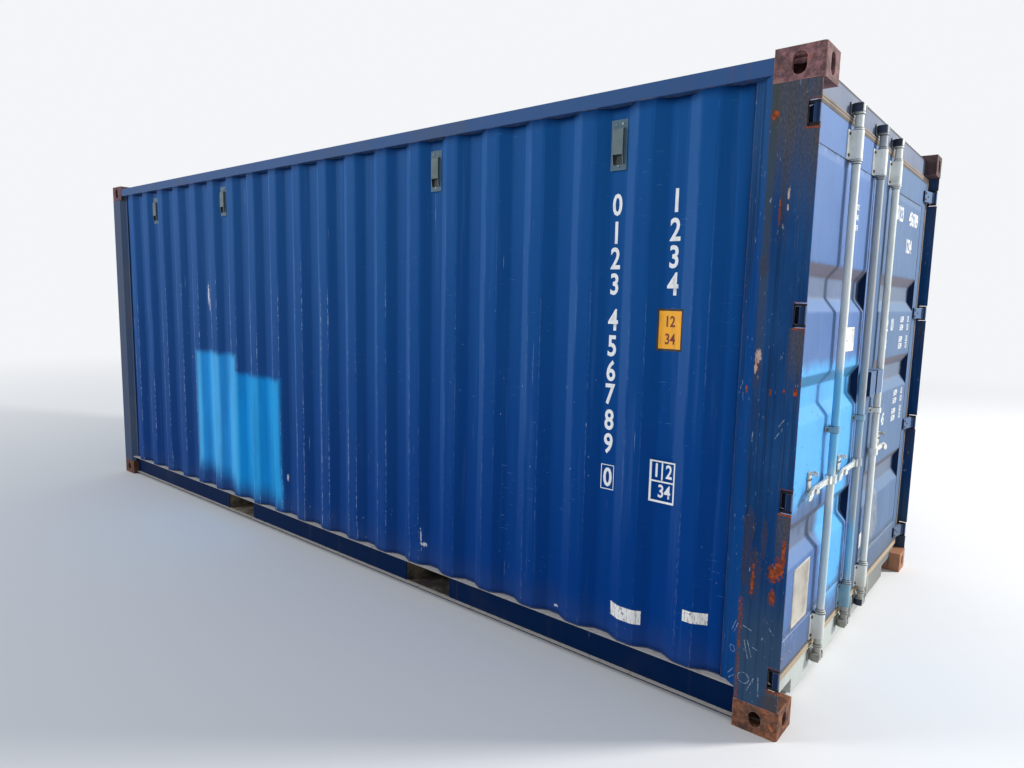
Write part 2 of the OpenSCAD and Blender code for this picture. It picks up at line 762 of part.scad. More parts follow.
module hinge_lugs() {
    color([0.2, 0.27, 0.38])
        for (s = [-1, 1]) on_side(s) for (z = hinge_z) translate([0, 0, z])
            difference() {
                hinge_lug_pair();
                box(frame_x, half_l, -half_w - 1, -half_w + post_t, -notch_h / 2, notch_h / 2);
            }
}

// Jaws that hold a cam behind their tips, on a plate welded to the frame
module keeper() {
    plate = 6;
    jaw_h = cam_h + 6;
    jaw_out = jaw_in + jaw_t;
    mouth = 58;
    reach = bar_x - frame_x;
    translate([-reach, -jaw_out, -jaw_h / 2 - 6]) cube([plate, 2 * jaw_out, jaw_h + 12]);
    translate([0, 0, -jaw_h / 2]) difference() {
        cylinder(r = jaw_out, h = jaw_h);
        translate([0, 0, -1]) cylinder(r = jaw_in, h = jaw_h + 2);
        translate([-reach - 2 * jaw_out, -2 * jaw_out, -1])
            cube([2 * jaw_out + plate - 1, 4 * jaw_out, jaw_h + 2]);
        translate([0, 0, -1]) linear_extrude(jaw_h + 2) polygon([
            [0, 0], [2 * jaw_out * cos(mouth), -2 * jaw_out * sin(mouth)],
            [2 * jaw_out * cos(mouth), 2 * jaw_out * sin(mouth)]
        ]);
    }
}

module cam_keepers() {
    color([0.25, 0.28, 0.33])
        for (y = [-bar_outer_y, -bar_inner_y, bar_inner_y]) for (z = [cam_low_z, cam_top_z])
            translate([bar_x, y, z]) keeper();
}

// Upright tubes and top and bottom channels of a door leaf
module door_frame() {
    t = door_tube_t;
    difference() {
        box(leaf_back_x, door_x, -leaf_y1, -leaf_mid_gap, leaf_z0, leaf_z1);
        box(leaf_back_x - 1, door_x + 1, -panel_y1, -panel_y0, panel_z0, panel_z1);
        for (y = [[-leaf_y1, -panel_y1], [-panel_y0, -leaf_mid_gap]])
            box(leaf_back_x + t, door_x - t, y[0] + t, y[1] - t, leaf_z0 - 1, leaf_z1 + 1);
        for (z = [leaf_z0, panel_z1])
            box(leaf_back_x - 1, door_x - t, -panel_y1 + t, -panel_y0 - t, z + t, z + member_h - t);
    }
}

// Sheet with three pressed recesses that run from stile to stile
module door_panel() {
    floor_x = door_x - recess_depth;
    recesses = [for (z = recess_z) each [
        [door_x, z - recess_h / 2], [floor_x, z - recess_h / 2 + recess_slope],
        [floor_x, z + recess_h / 2 - recess_slope], [door_x, z + recess_h / 2]
    ]];
    path = concat([[door_x, panel_z0]], recesses, [[door_x, panel_z1]]);
    across(folded(path, panel_t), -panel_y1, -panel_y0);
}

// Foot round the edge of the leaf with a lip that laps over the frame
module door_gasket() {
    foot = gasket_foot;
    lip_y = open_y + gasket_lap;
    difference() {
        union() {
            box(leaf_back_x + 6, door_x, -leaf_y1 - foot, -leaf_mid_gap + foot,
                leaf_z0 - foot, leaf_z1 + foot);
            box(frame_x + lip_gap, frame_x + lip_gap + gasket_lip_t,
                -lip_y, -leaf_mid_gap + foot, lip_z0, lip_z1);
        }
        box(leaf_back_x, door_x + 20, -leaf_y1, -leaf_mid_gap, leaf_z0, leaf_z1);
    }
}

// Knuckle on the pin and a cranked blade that is welded to the leaf
module hinge_blade() {
    lip_x = frame_x + lip_gap + gasket_lip_t + 1;
    lip_y = open_y + gasket_lap;
    difference() {
        linear_extrude(blade_h, center = true) {
            polygon([
                [door_x, -leaf_y1], [door_x, -leaf_y1 + blade_seat],
                [door_x + blade_t - 2, -leaf_y1 + blade_seat],
                [door_x + blade_t + 3, -leaf_y1 + blade_seat - 24], [pin_x - 10, -lip_y + 4],
                [pin_x + 2, -pin_y + knuckle_r - 0.5], [pin_x - knuckle_r + 1, -pin_y + 3],
                [lip_x, -lip_y + 3], [lip_x, -leaf_y1]
            ]);
            translate([pin_x, -pin_y]) circle(knuckle_r);
        }
        translate([pin_x, -pin_y, 0]) cylinder(r = pin_r + pin_gap, h = blade_h + 2, center = true);
    }
}

module hinge_blades() {
    for (z = hinge_z) translate([0, 0, z]) hinge_blade();
}

// Bent strap round a bar, with a flange on each side against the door
module bar_bracket(h, half) {
    in_r = bar_r + bar_gap;
    out_r = in_r + bracket_t;
    linear_extrude(h, center = true) difference() {
        union() {
            translate([-bar_out, -half]) square([bracket_t, 2 * half]);
            translate([-bar_out, -out_r]) square([bar_out, 2 * out_r]);
            circle(out_r);
        }
        translate([-bar_out - 1, -in_r]) square([bar_out + 1, 2 * in_r]);
        circle(in_r);
    }
}

// Plate that stands on the flange of an inner bar's lower bracket and hangs down beside the keeper
module bar_guard() {
    in_x = door_x + bracket_t;
    out_x = door_x + guard_out;
    z = bearing_z[0];
    across([
        [in_x, z + bracket_h / 2 - 6], [out_x, z - bracket_h / 4], [out_x, cam_low_z + 10],
        [out_x - 12, cam_low_z + 10], [in_x, z - bracket_h / 2]
    ], guard_y - guard_t / 2, guard_y + guard_t / 2);
}

module bar_brackets(ys) {
    for (y = ys) for (i = [0:2])
        translate([bar_x, y, bearing_z[i]])
            bar_bracket(i == 1 ? strap_h : bracket_h, i == 1 ? bracket_half_w - 8 : bracket_half_w);
}

// Round head with a tooth that reaches behind one jaw of the keeper
module cam(side) {
    tooth_w = 18;
    linear_extrude(cam_h, center = true) {
        circle(cam_r);
        intersection() {
            circle(cam_tooth);
            translate([-tooth_w / 2, side > 0 ? 0 : -cam_tooth]) square([tooth_w, cam_tooth]);
        }
    }
}

// Hub round the bar with two ears and the pin that carries a handle
module handle_clevis() {
    ear = 6;
    gap = handle_t / 2 + face_gap;
    ear_r = handle_eye + 2;
    difference() {
        union() {
            cylinder(r = collar_r, h = 2 * ear_r, center = true);
            rotate([90, 0, 90]) linear_extrude(2 * (gap + ear), center = true) {
                translate([-handle_pivot, 0]) circle(ear_r);
                translate([-handle_pivot, -ear_r]) square([handle_pivot, 2 * ear_r]);
            }
        }
        box(-gap, gap, -handle_pivot - 2 * ear_r, -bar_r - face_gap, -ear_r - 1, ear_r + 1);
    }
    translate([-gap - ear / 2, -handle_pivot, 0])
        rotate([0, 90, 0]) cylinder(r = handle_pin_r, h = 2 * gap + ear);
}

// Wide ring with a narrower one beyond it
module collar() {
    cylinder(r = collar_r, h = collar_h);
    cylinder(r = ring_r, h = 2 * collar_h);
}

// Bar with its cams, collars and handle clevis, for the left door; the tooth and handle point to -Y
module locking_bar(y) {
    reach = bracket_h / 2 + face_gap;
    translate([bar_x, y, 0]) {
        translate([0, 0, cam_low_z]) cylinder(r = bar_r, h = cam_top_z - cam_low_z);
        translate([0, 0, cam_low_z]) cam(-1);
        translate([0, 0, cam_top_z]) cam(-1);
        translate([0, 0, bearing_z[0] + reach]) collar();
        translate([0, 0, bearing_z[2] - reach]) mirror([0, 0, 1]) collar();
        translate([0, 0, bearing_z[2] + reach]) cylinder(r = ring_r, h = collar_h);
        translate([0, 0, cam_top_z - cam_h / 2 - collar_h]) cylinder(r = ring_r, h = collar_h);
        translate([0, 0, (cam_low_z + cam_h / 2 + bearing_z[0] - bracket_h / 2) / 2])
            cylinder(r = ring_r, h = collar_h, center = true);
        translate([0, 0, handle_z]) handle_clevis();
    }
}

// Forged bar with an eye at its pivot and a grip that hangs lower, for the left door
module handle(y) {
    eye_y = -handle_pivot;
    neck_y = eye_y - 3 * handle_eye;
    grip_y = -catch_reach - catch_w / 2 - 4;
    translate([bar_x, y, handle_z]) rotate([90, 0, 90]) linear_extrude(handle_t, center = true) difference() {
        union() {
            translate([eye_y, 0]) circle(handle_eye);
            polygon([
                [eye_y, -handle_eye], [eye_y, handle_eye], [neck_y, arm_h + 2], [grip_y, arm_h],
                [-handle_l + 12, arm_h - grip_drop + 4], [-handle_l, -grip_drop + 4],
                [-handle_l, -grip_drop - arm_h], [-handle_l + 12, -grip_drop - arm_h - 3],
                [grip_y - 30, -grip_drop - arm_h - 2], [grip_y, -arm_h - 2], [neck_y, -arm_h - 2]
            ]);
        }
        translate([eye_y, 0]) circle(handle_pin_r + pin_gap);
    }
}

// Plate on the door with a hooked seat that the handle drops into and a finger above the handle
module handle_catch(y) {
    gap = 2;
    x0 = handle_t / 2 + gap;
    wall = 6;
    foot = arm_h + gap + 2;
    head = finger_up + wall;
    outline = [
        [-bar_out, -arm_h - 24], [-bar_out + wall, -arm_h - 24], [-bar_out + wall, -foot - wall],
        [x0 + wall, -foot - wall], [x0 + wall, arm_h / 2], [x0, arm_h / 2], [x0, -foot],
        [-bar_out + wall, -foot], [-bar_out + wall, head], [-bar_out, head]
    ];
    translate([bar_x, y - catch_reach, handle_z]) {
        across(outline, -catch_w / 2, catch_w / 2);
        across([
            [-bar_out + wall, finger_up - wall], [0, finger_up - 2 * wall], [x0, finger_up - wall],
            [x0, finger_up + wall], [0, finger_up + 2 * wall], [-bar_out + wall, finger_up + wall]
        ], -wall / 2, wall / 2);
    }
}

// Half of the lock box: a hood open at its foot and towards the other half
module lock_box_half(y0, y1) {
    t = lock_box_t;
    z0 = lock_box_z - lock_box_h / 2;
    z1 = lock_box_z + lock_box_h / 2;
    difference() {
        box(door_x, door_x + lock_box_d, -y1, -y0, z0, z1);
        box(door_x - 1, door_x + lock_box_d - t, -y1 + t, -y0 + 1, z0 - 1, z1 - t);
    }
}

module left_door_frame() { color([0.45, 0.53, 0.72]) door_frame(); }
module left_door_panel() { color([0.45, 0.53, 0.72]) door_panel(); }
module left_door_gasket() { color([0.62, 0.58, 0.52]) door_gasket(); }
module left_hinge_blades() { color([0.4, 0.48, 0.62]) hinge_blades(); }
module left_bar_brackets() {
    color([0.78, 0.8, 0.76]) {
        bar_brackets([-bar_outer_y, -bar_inner_y]);
        translate([0, -bar_inner_y, 0]) bar_guard();
    }
}
module left_handle_catches() {
    color([0.8, 0.8, 0.76]) {
        handle_catch(-bar_outer_y);
        handle_catch(-bar_inner_y);
    }
}
module left_lock_box() { color([0.42, 0.48, 0.62]) lock_box_half(leaf_mid_gap, lock_box_left); }

module right_door_frame() { color([0.45, 0.53, 0.72]) on_side(1) door_frame(); }
module right_door_panel() { color([0.45, 0.53, 0.72]) on_side(1) door_panel(); }
module right_door_gasket() { color([0.62, 0.58, 0.52]) on_side(1) door_gasket(); }
module right_hinge_blades() { color([0.4, 0.48, 0.62]) on_side(1) hinge_blades(); }
module right_bar_brackets() {
    color([0.78, 0.8, 0.76]) {
        bar_brackets([bar_inner_y]);
        translate([0, bar_inner_y, 0]) bar_guard();
    }
}
module right_handle_catch() { color([0.8, 0.8, 0.76]) on_side(1) handle_catch(-bar_inner_y); }
module right_lock_box() { color([0.42, 0.48, 0.62]) on_side(1) lock_box_half(leaf_mid_gap, lock_box_right); }

module left_outer_bar() { color([0.8, 0.8, 0.76]) locking_bar(-bar_outer_y); }
module left_inner_bar() { color([0.8, 0.8, 0.76]) locking_bar(-bar_inner_y); }
module right_inner_bar() { color([0.8, 0.8, 0.76]) on_side(1) locking_bar(-bar_inner_y); }
module left_outer_handle() { color([0.85, 0.85, 0.82]) handle(-bar_outer_y); }
module left_inner_handle() { color([0.85, 0.85, 0.82]) handle(-bar_inner_y); }
module right_inner_handle() { color([0.85, 0.85, 0.82]) on_side(1) handle(-bar_inner_y); }

top_fittings();
bottom_fittings();
left_rear_post();
right_rear_post();
left_front_post();
right_front_post();
left_top_rail();
right_top_rail();
left_bottom_rail();
right_bottom_rail();
front_top_rail();
front_sill();
door_header();
door_sill();
left_wall();
right_wall();
front_wall();
roof();
floor();
cross_members();
fork_pockets();
side_vents();
hinge_lugs();
cam_keepers();
left_door_frame();
left_door_panel();
left_door_gasket();
left_hinge_blades();
left_bar_brackets();
left_handle_catches();
left_lock_box();
right_door_frame();
right_door_panel();
right_door_gasket();
right_hinge_blades();
right_bar_brackets();
right_handle_catch();
right_lock_box();
left_outer_bar();
left_inner_bar();
right_inner_bar();
left_outer_handle();
left_inner_handle();
right_inner_handle();
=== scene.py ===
import math
import bpy
import numpy as np
from mathutils import Matrix, Vector


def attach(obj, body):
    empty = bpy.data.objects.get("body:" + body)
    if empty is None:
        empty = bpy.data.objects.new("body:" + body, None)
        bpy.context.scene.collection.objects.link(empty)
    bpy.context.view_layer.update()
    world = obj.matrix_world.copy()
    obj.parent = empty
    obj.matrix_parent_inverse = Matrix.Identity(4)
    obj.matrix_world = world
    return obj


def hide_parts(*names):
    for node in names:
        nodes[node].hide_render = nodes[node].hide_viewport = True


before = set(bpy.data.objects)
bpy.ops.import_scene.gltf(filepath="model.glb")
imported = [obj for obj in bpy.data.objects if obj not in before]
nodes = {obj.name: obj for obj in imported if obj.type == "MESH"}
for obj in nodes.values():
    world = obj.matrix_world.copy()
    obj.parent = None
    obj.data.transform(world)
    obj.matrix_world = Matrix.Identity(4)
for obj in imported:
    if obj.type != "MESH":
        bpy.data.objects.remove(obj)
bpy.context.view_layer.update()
print("frame loaded:", len(nodes), "nodes")


# camera: angles in degrees, place in metres, lens in pixels and millimetres

view = {"place": (3.79645, -3.80269, 1.69084), "azimuth": 39.528356, "down": 7.122935, "roll": 1.242187,
        "focalPixels": 689.13, "imageWidth": 1024, "sensor": 36, "reach": 200}


def makeCamera():
    # forward = horizontal heading turned down; right and up are then turned by the roll
    azimuth, down, roll = (math.radians(view[key]) for key in ("azimuth", "down", "roll"))
    forward = Vector((-math.sin(azimuth) * math.cos(down), math.cos(azimuth) * math.cos(down),
                      -math.sin(down)))
    flatRight = forward.cross(Vector((0, 0, 1))).normalized()
    flatUp = flatRight.cross(forward)
    right = math.cos(roll) * flatRight + math.sin(roll) * flatUp
    up = math.cos(roll) * flatUp - math.sin(roll) * flatRight
    lens = bpy.data.cameras.new("camera")
    lens.sensor_width = view["sensor"]
    lens.lens = view["sensor"] * view["focalPixels"] / view["imageWidth"]
    lens.clip_end = view["reach"]
    camera = bpy.data.objects.new("camera", lens)
    bpy.context.scene.collection.objects.link(camera)
    turn = Matrix((right, up, -forward)).transposed().to_4x4()
    camera.matrix_world = Matrix.Translation(Vector(view["place"])) @ turn
    bpy.context.scene.camera = camera


makeCamera()
bpy.context.scene.view_settings.view_transform = "Standard"
print("camera placed")


# shader building

class Sock:
    # one output socket of a shader node; arithmetic on it adds Math nodes
    def __init__(self, paint, socket):
        self.paint, self.socket = paint, socket

    def maths(self, operation, *values):
        return self.paint.node("ShaderNodeMath", {"operation": operation},
                               dict(enumerate((self,) + values)))

    def __add__(self, other):
        return self.maths("ADD", other)

    def __radd__(self, other):
        return self.maths("ADD", other)

    def __sub__(self, other):
        return self.maths("SUBTRACT", other)

    def __rsub__(self, other):
        return self.paint.node("ShaderNodeMath", {"operation": "SUBTRACT"}, {0: other, 1: self})

    def __mul__(self, other):
        return self.maths("MULTIPLY", other)

    def __truediv__(self, other):
        return self.maths("DIVIDE", other)

    def __pow__(self, other):
        return self.maths("POWER", other)

    def __abs__(self):
        return self.maths("ABSOLUTE")

    def __neg__(self):
        return self.maths("MULTIPLY", -1.0)

    def both(self, other):
        return self.maths("MINIMUM", other)

    def either(self, other):
        return self.maths("MAXIMUM", other)

    def limit(self):
        # kept between 0 and 1
        return self.paint.node("ShaderNodeClamp", {}, {"Value": self})

    def rise(self, low, high):
        # 0 below low, 1 above high, a smooth step between; low above high turns it round
        return self.paint.node("ShaderNodeMapRange", {"interpolation_type": "SMOOTHSTEP"},
                               {"Value": self, "From Min": low, "From Max": high})

    def band(self, low, high, soft):
        # 1 between low and high, falling to 0 over soft on both sides
        return self.rise(low - soft, low + soft).both(self.rise(high + soft, high - soft))


class Paint:
    # a material, its node tree and the colour built up so far
    def __init__(self, name):
        self.material = bpy.data.materials.new(name)
        self.material.use_nodes = True
        self.tree = self.material.node_tree
        self.tree.nodes.clear()
        self.place = self.node("ShaderNodeTexCoord", {}, {}, "Object")
        self.x, self.y, self.z = self.apart(self.place)
        self.seed = 0.0
        self.colour = None

    def node(self, kind, settings, inputs, output=0):
        # makes a node with its settings, links its sockets or sets their values, and gives one output
        made = self.tree.nodes.new(kind)
        for key, value in settings.items():
            setattr(made, key, value)
        for key, value in inputs.items():
            if isinstance(value, Sock):
                self.tree.links.new(made.inputs[key], value.socket)
            else:
                made.inputs[key].default_value = value
        return Sock(self, made.outputs[output]) if made.outputs else made

    def apart(self, vector):
        # the three parts of a vector
        first = self.node("ShaderNodeSeparateXYZ", {}, {0: vector})
        return [Sock(self, output) for output in first.socket.node.outputs]

    def stretched(self, sx, sy, sz):
        # the object's coordinates, scaled along each axis and moved by the seed
        self.seed += 1.0
        return self.node("ShaderNodeMapping", {}, {
            "Vector": self.place, "Scale": (sx, sx if sy is None else sy, sx if sz is None else sz),
            "Location": (self.seed * 3.1, self.seed * 1.7, self.seed * 2.3)})

    def noise(self, sx, sy=None, sz=None, detail=4.0, rough=0.55):
        # cloud noise with features about 1/scale metres across; it averages 0.5
        where = self.stretched(sx, sy, sz)
        return self.node("ShaderNodeTexNoise", {},
                         {"Vector": where, "Scale": 1.0, "Detail": detail, "Roughness": rough})

    def mix(self, first, second, share):
        # first where share is 0, second where it is 1
        return self.node("ShaderNodeMix", {"data_type": "RGBA", "clamp_factor": True},
                         {0: share, 6: first, 7: second}, 2)

    def lay(self, colour, share):
        # a further colour over the one so far, where the share is 1
        self.colour = self.mix(self.colour, colour, share)

    def rust(self, mask):
        # rust = bright to dark by noise, laid over the colour where the mask is 1
        tone = self.noise(60.0, detail=6.0, rough=0.7)
        rust = self.mix(finish["rustBright"], finish["rust"], tone.rise(0.35, 0.55))
        self.lay(self.mix(rust, finish["rustDark"], tone.rise(0.55, 0.75)), mask)

    def facing(self):
        # the three parts of the face's own direction, in the axes of the object
        normal = self.node("ShaderNodeNewGeometry", {}, {}, "True Normal")
        turn = {"vector_type": "NORMAL", "convert_from": "WORLD", "convert_to": "OBJECT"}
        return self.apart(self.node("ShaderNodeVectorTransform", turn, {"Vector": normal}))

    def bevel(self, radius):
        return self.node("ShaderNodeBevel", {"samples": 4}, {"Radius": radius})

    def edges(self, radius):
        # 1 on outer edges and corners, where the rounded normal leaves the true one
        turned = self.bevel(radius)
        straight = self.node("ShaderNodeNewGeometry", {}, {}, "True Normal")
        along = self.node("ShaderNodeVectorMath", {"operation": "DOT_PRODUCT"}, {0: turned, 1: straight},
                          "Value")
        return along.rise(0.985, 0.8)

    def worn(self, radius, scale, low, high):
        # edges, broken up by noise
        return self.edges(radius) * self.noise(scale).rise(low, high)

    def bump(self, height, distance, rounded=None):
        # relief: distance is the height in metres of a value of 1, rounded the radius that softens edges
        inputs = {"Height": height, "Distance": distance, "Strength": 1.0}
        if rounded:
            inputs["Normal"] = self.bevel(rounded)
        return self.node("ShaderNodeBump", {}, inputs)

    def surface(self, roughness, metallic=0.0, normal=None, alpha=None, specular=0.5, glow=None, tint=None):
        # the finished material, in the colour built up so far
        inputs = {"Base Color": self.colour, "Roughness": roughness, "Metallic": metallic,
                  "Specular IOR Level": specular}
        if tint:
            inputs["Specular Tint"] = tint
        for key, value in (("Normal", normal), ("Alpha", alpha), ("Emission Color", glow)):
            if value is not None:
                inputs[key] = value
        if glow is not None:
            inputs["Emission Strength"] = 1.0
        shader = self.node("ShaderNodeBsdfPrincipled", {}, inputs)
        self.node("ShaderNodeOutputMaterial", {}, {"Surface": shader})
        return self.material


def rgb(red, green, blue):
    # a screen colour of 0 to 255 as the linear colour that Blender wants
    def linear(c):
        c /= 255
        return c / 12.92 if c <= 0.04045 else ((c + 0.055) / 1.055) ** 2.4
    return (linear(red), linear(green), linear(blue), 1.0)


# colours and marks shared by the finishes

finish = {
    "wallLow": rgb(0, 54, 124), "wallHigh": rgb(20, 78, 138), "wallSheen": rgb(56, 100, 154),
    "wallPale": rgb(92, 132, 184),
    "wallDark": rgb(0, 28, 74), "spray": rgb(74, 172, 232), "sprayDeep": rgb(38, 156, 220),
    "sprayShade": rgb(0, 134, 214),
    "grime": rgb(92, 88, 84), "dust": rgb(196, 190, 182), "scuff": rgb(136, 150, 172),
    "rust": rgb(116, 56, 34), "rustBright": rgb(176, 82, 40), "rustDark": rgb(64, 40, 32),
    "postBlue": rgb(12, 52, 98), "oldBlueAndShade": rgb(4, 24, 62), "inner": rgb(176, 178, 172),
    "cream": rgb(226, 230, 226), "creamDirt": rgb(150, 154, 146), "chalk": rgb(248, 249, 246),
    "gasket": rgb(136, 124, 114), "gasketDark": rgb(86, 78, 74), "sill": rgb(184, 190, 186),
    "gloss": (0.5, 0.75, 1.0, 1.0),
    "ply": rgb(126, 92, 62), "plyDark": rgb(78, 56, 40), "under": rgb(50, 46, 44),
    "mud": rgb(150, 136, 116),
    "white": rgb(232, 234, 234), "orange": rgb(246, 170, 26), "black": rgb(24, 24, 26)}


def blot(first, second, spot, ragged):
    # an ellipse of (centre, centre, half width, half height) with a ragged edge
    a, b, ra, rb = spot
    distance = (((first - a) / ra) ** 2.0 + ((second - b) / rb) ** 2.0) ** 0.5
    return (distance + ragged).rise(1.15, 0.75)


def anyOf(masks):
    # 1 where one of the masks is
    masks = list(masks)
    whole = masks[0]
    for mask in masks[1:]:
        whole = whole.either(mask)
    return whole


def blots(first, second, spots, ragged):
    return anyOf(blot(first, second, spot, ragged) for spot in spots)


def stroke(first, second, line, width):
    # 1 near the line from (a, b) to (c, d): the distance to its nearest point is under the width
    a, b, c, d = line
    length = math.hypot(c - a, d - b)
    ux, uz = (c - a) / length, (d - b) / length
    du, dv = first - a, second - b
    along = (du * ux + dv * uz).either(0.0).both(length)
    gapU, gapV = du - along * ux, dv - along * uz
    return ((gapU * gapU + gapV * gapV) ** 0.5).rise(width, width * 0.5)


def panelPaint(name, sprayed=False, front=False):
    # blue = deep at the foot and paler towards the roof, partly faded paint and partly painted sky light; a
    # painted sheen towards the front end; streaks, scuffs, chips and dust on it
    paint = Paint(name)
    clouds = paint.noise(0.9, 0.9, 0.7, detail=5.0)
    streaks = paint.noise(26.0, 26.0, 0.8, detail=4.0, rough=0.6)
    speckle = paint.noise(260.0, 260.0, 70.0, detail=3.0)
    # paler towards the roof: partly faded paint, partly painted sky light
    height = paint.z / 2.4 + (clouds - 0.5) * 0.4
    paint.colour = paint.mix(finish["wallLow"], finish["wallHigh"], height.rise(0.1, 1.1))
    # painted sheen: paler towards the front end, easing again near it
    paintedSheen = paint.x.rise(2.6, -3.4) * (1.0 - paint.x.rise(-1.3, -2.5) * 0.6)
    paint.lay(finish["wallSheen"], paintedSheen * 0.38)
    paint.lay(finish["wallPale"], streaks.rise(0.55, 0.8) * 0.14)
    paint.lay(finish["wallDark"], streaks.rise(0.45, 0.2) * 0.2)
    # the bends at the sides of each outer face are paler, partly rubbed paint and partly a painted
    # highlight, and scratched
    phase = ((2.652 - paint.x) / 0.278).maths("FRACT")
    bends = phase.band(0.245, 0.285, 0.014).either(phase.rise(0.972, 0.995) * 0.6)
    rubbedAndHighlit = paint.noise(3.0, 3.0, 2.2, detail=5.0).rise(0.4, 0.66) * paint.z.rise(0.2, 1.2)
    rubbedAndHighlit = bends * rubbedAndHighlit * (1.0 - paint.x.rise(-1.5, 2.6) * 0.5)
    paint.lay(finish["wallPale"], rubbedAndHighlit * 0.4)
    dots = paint.noise(230.0, 230.0, 34.0, detail=4.0, rough=0.7).rise(0.51, 0.6)
    runs = paint.noise(9.0, 9.0, 1.7, detail=4.0).rise(0.42, 0.56) * paint.z.rise(2.1, 1.5)
    runs = runs * (1.0 - paint.x.rise(0.2, 1.3) * 0.85)
    narrow = phase.band(0.242, 0.286, 0.01).either(phase.rise(0.972, 0.985))
    # painted light and shade: slopes that look at the front end are lighter, those that look at the doors
    # darker
    paintedSlopeLight = paint.z.rise(0.1, 1.6) * 0.2 + paint.x.rise(1.0, -1.6) * 0.16
    paint.lay(finish["wallPale"], phase.band(0.28, 0.47, 0.025) * paintedSlopeLight)
    deep = phase.band(0.64, 0.955, 0.04)
    paint.lay(finish["wallDark"], deep * paint.x.rise(2.4, 0.6) * 0.16)
    paint.lay(rgb(166, 184, 208), dots * runs * narrow * 0.9)
    nick = paint.noise(90.0, 90.0, 26.0, detail=3.0).rise(0.73, 0.745) * paint.noise(1.7).rise(0.45, 0.6)
    paint.lay(rgb(190, 202, 218), nick * paint.z.rise(2.2, 1.2) * 0.8)
    sideways = paint.noise(16.0, 16.0, 240.0, detail=3.0).rise(0.68, 0.71) * paint.noise(3.4).rise(0.5, 0.6)
    paint.lay(finish["wallPale"], sideways * paint.x.rise(0.0, 1.0) * 0.6)
    # upright scuffs where loads have rubbed the outer faces
    outer = abs(paint.y).rise(1.207, 1.213)
    long = paint.noise(60.0, 8.0, 1.6, detail=5.0, rough=0.65)
    scuffed = long.rise(0.65, 0.71) * paint.noise(2.2, 2.2, 2.0, detail=2.0).rise(0.45, 0.6)
    paint.lay(finish["scuff"], scuffed * outer * (0.3 + speckle.rise(0.4, 0.6) * 0.4))
    hair = paint.noise(170.0, 20.0, 2.4, detail=3.0).rise(0.71, 0.74) * paint.noise(3.0).rise(0.5, 0.6)
    paint.lay(finish["white"], hair * 0.4)
    chips = paint.noise(48.0, detail=5.0, rough=0.7).rise(0.735, 0.76)
    paint.rust(chips * 0.9)
    if sprayed:
        wobble = paint.noise(14.0, detail=5.0, rough=0.65) * 0.05 - 0.025
        drift = paint.noise(50.0, detail=5.0, rough=0.7) * 0.03 - 0.015
        foot = paint.noise(5.0, 5.0, 0.2, detail=4.0) * 0.24 + 0.08 + (-0.9 - paint.x).rise(0.0, 0.6) * 0.1
        left = (paint.x + drift).band(-1.57, -0.98, 0.03).both((paint.z + wobble).rise(1.255, 1.19))
        right = (paint.x + drift).band(-1.0, -0.41, 0.035).both((paint.z + wobble).rise(1.125, 1.06))
        low = (paint.z - foot + wobble).rise(-0.06, 0.14)
        thin = paint.noise(7.0, 7.0, 1.2, detail=5.0).rise(0.3, 0.6) * 0.25 + 0.75
        # on the spray, the slopes that look at the doors take painted shade
        for tone, patch in (("sprayDeep", right), ("spray", left)):
            hue = paint.mix(finish[tone], finish["sprayShade"], deep * 0.65)
            paint.lay(hue, patch.both(low) * thin)
        fray = paint.noise(110.0, 110.0, 70.0, detail=5.0, rough=0.75) * 5.0 - 2.5
        spots = [(-1.412, 1.665, 0.012, 0.07), (-1.396, 1.59, 0.006, 0.05), (1.016, 0.286, 0.018, 0.010),
                 (1.000, 0.330, 0.003, 0.05), (-0.36, 0.42, 0.006, 0.02), (1.94, 0.205, 0.010, 0.006)]
        paint.lay(rgb(206, 210, 218), blots(paint.x, paint.z, spots, fray) * 0.9)
    # dirt thrown up at the foot, and painted shade under the rail
    splash = (paint.z + (paint.noise(7.0, 7.0, 2.0) - 0.5) * 0.22).rise(0.36, 0.14)
    paint.lay(finish["grime"], splash * 0.12)
    paint.lay(finish["dust"], paint.z.rise(0.1705, 0.168) * 0.8)
    roof = (paint.z + (paint.noise(14.0) - 0.5) * 0.04).rise(2.45, 2.5)
    paint.lay(finish["wallDark"], roof * 0.6)
    # the inner face has plain pale paint, scraped near the floor
    nx, ny, nz = paint.facing()
    inwards = nx if front else -(ny * paint.y)
    inner = paint.mix(finish["inner"], rgb(120, 112, 104), long.rise(0.5, 0.62) * paint.z.rise(1.2, 0.3))
    inner = paint.mix(inner, finish["rust"], chips)
    paint.lay(inner, inwards.rise(0.0, 0.2))
    peel = paint.noise(520.0, detail=2.0)
    waves = paint.noise(5.0, detail=2.0)
    normal = paint.bump(peel * 0.25 + waves * 6.0 + chips * -0.6, 0.0006)
    rough = 0.42 + clouds * 0.12 + splash * 0.2 + chips * 0.3 + streaks * 0.08
    return paint.surface(rough.limit(), normal=normal, specular=0.06, tint=finish["gloss"])


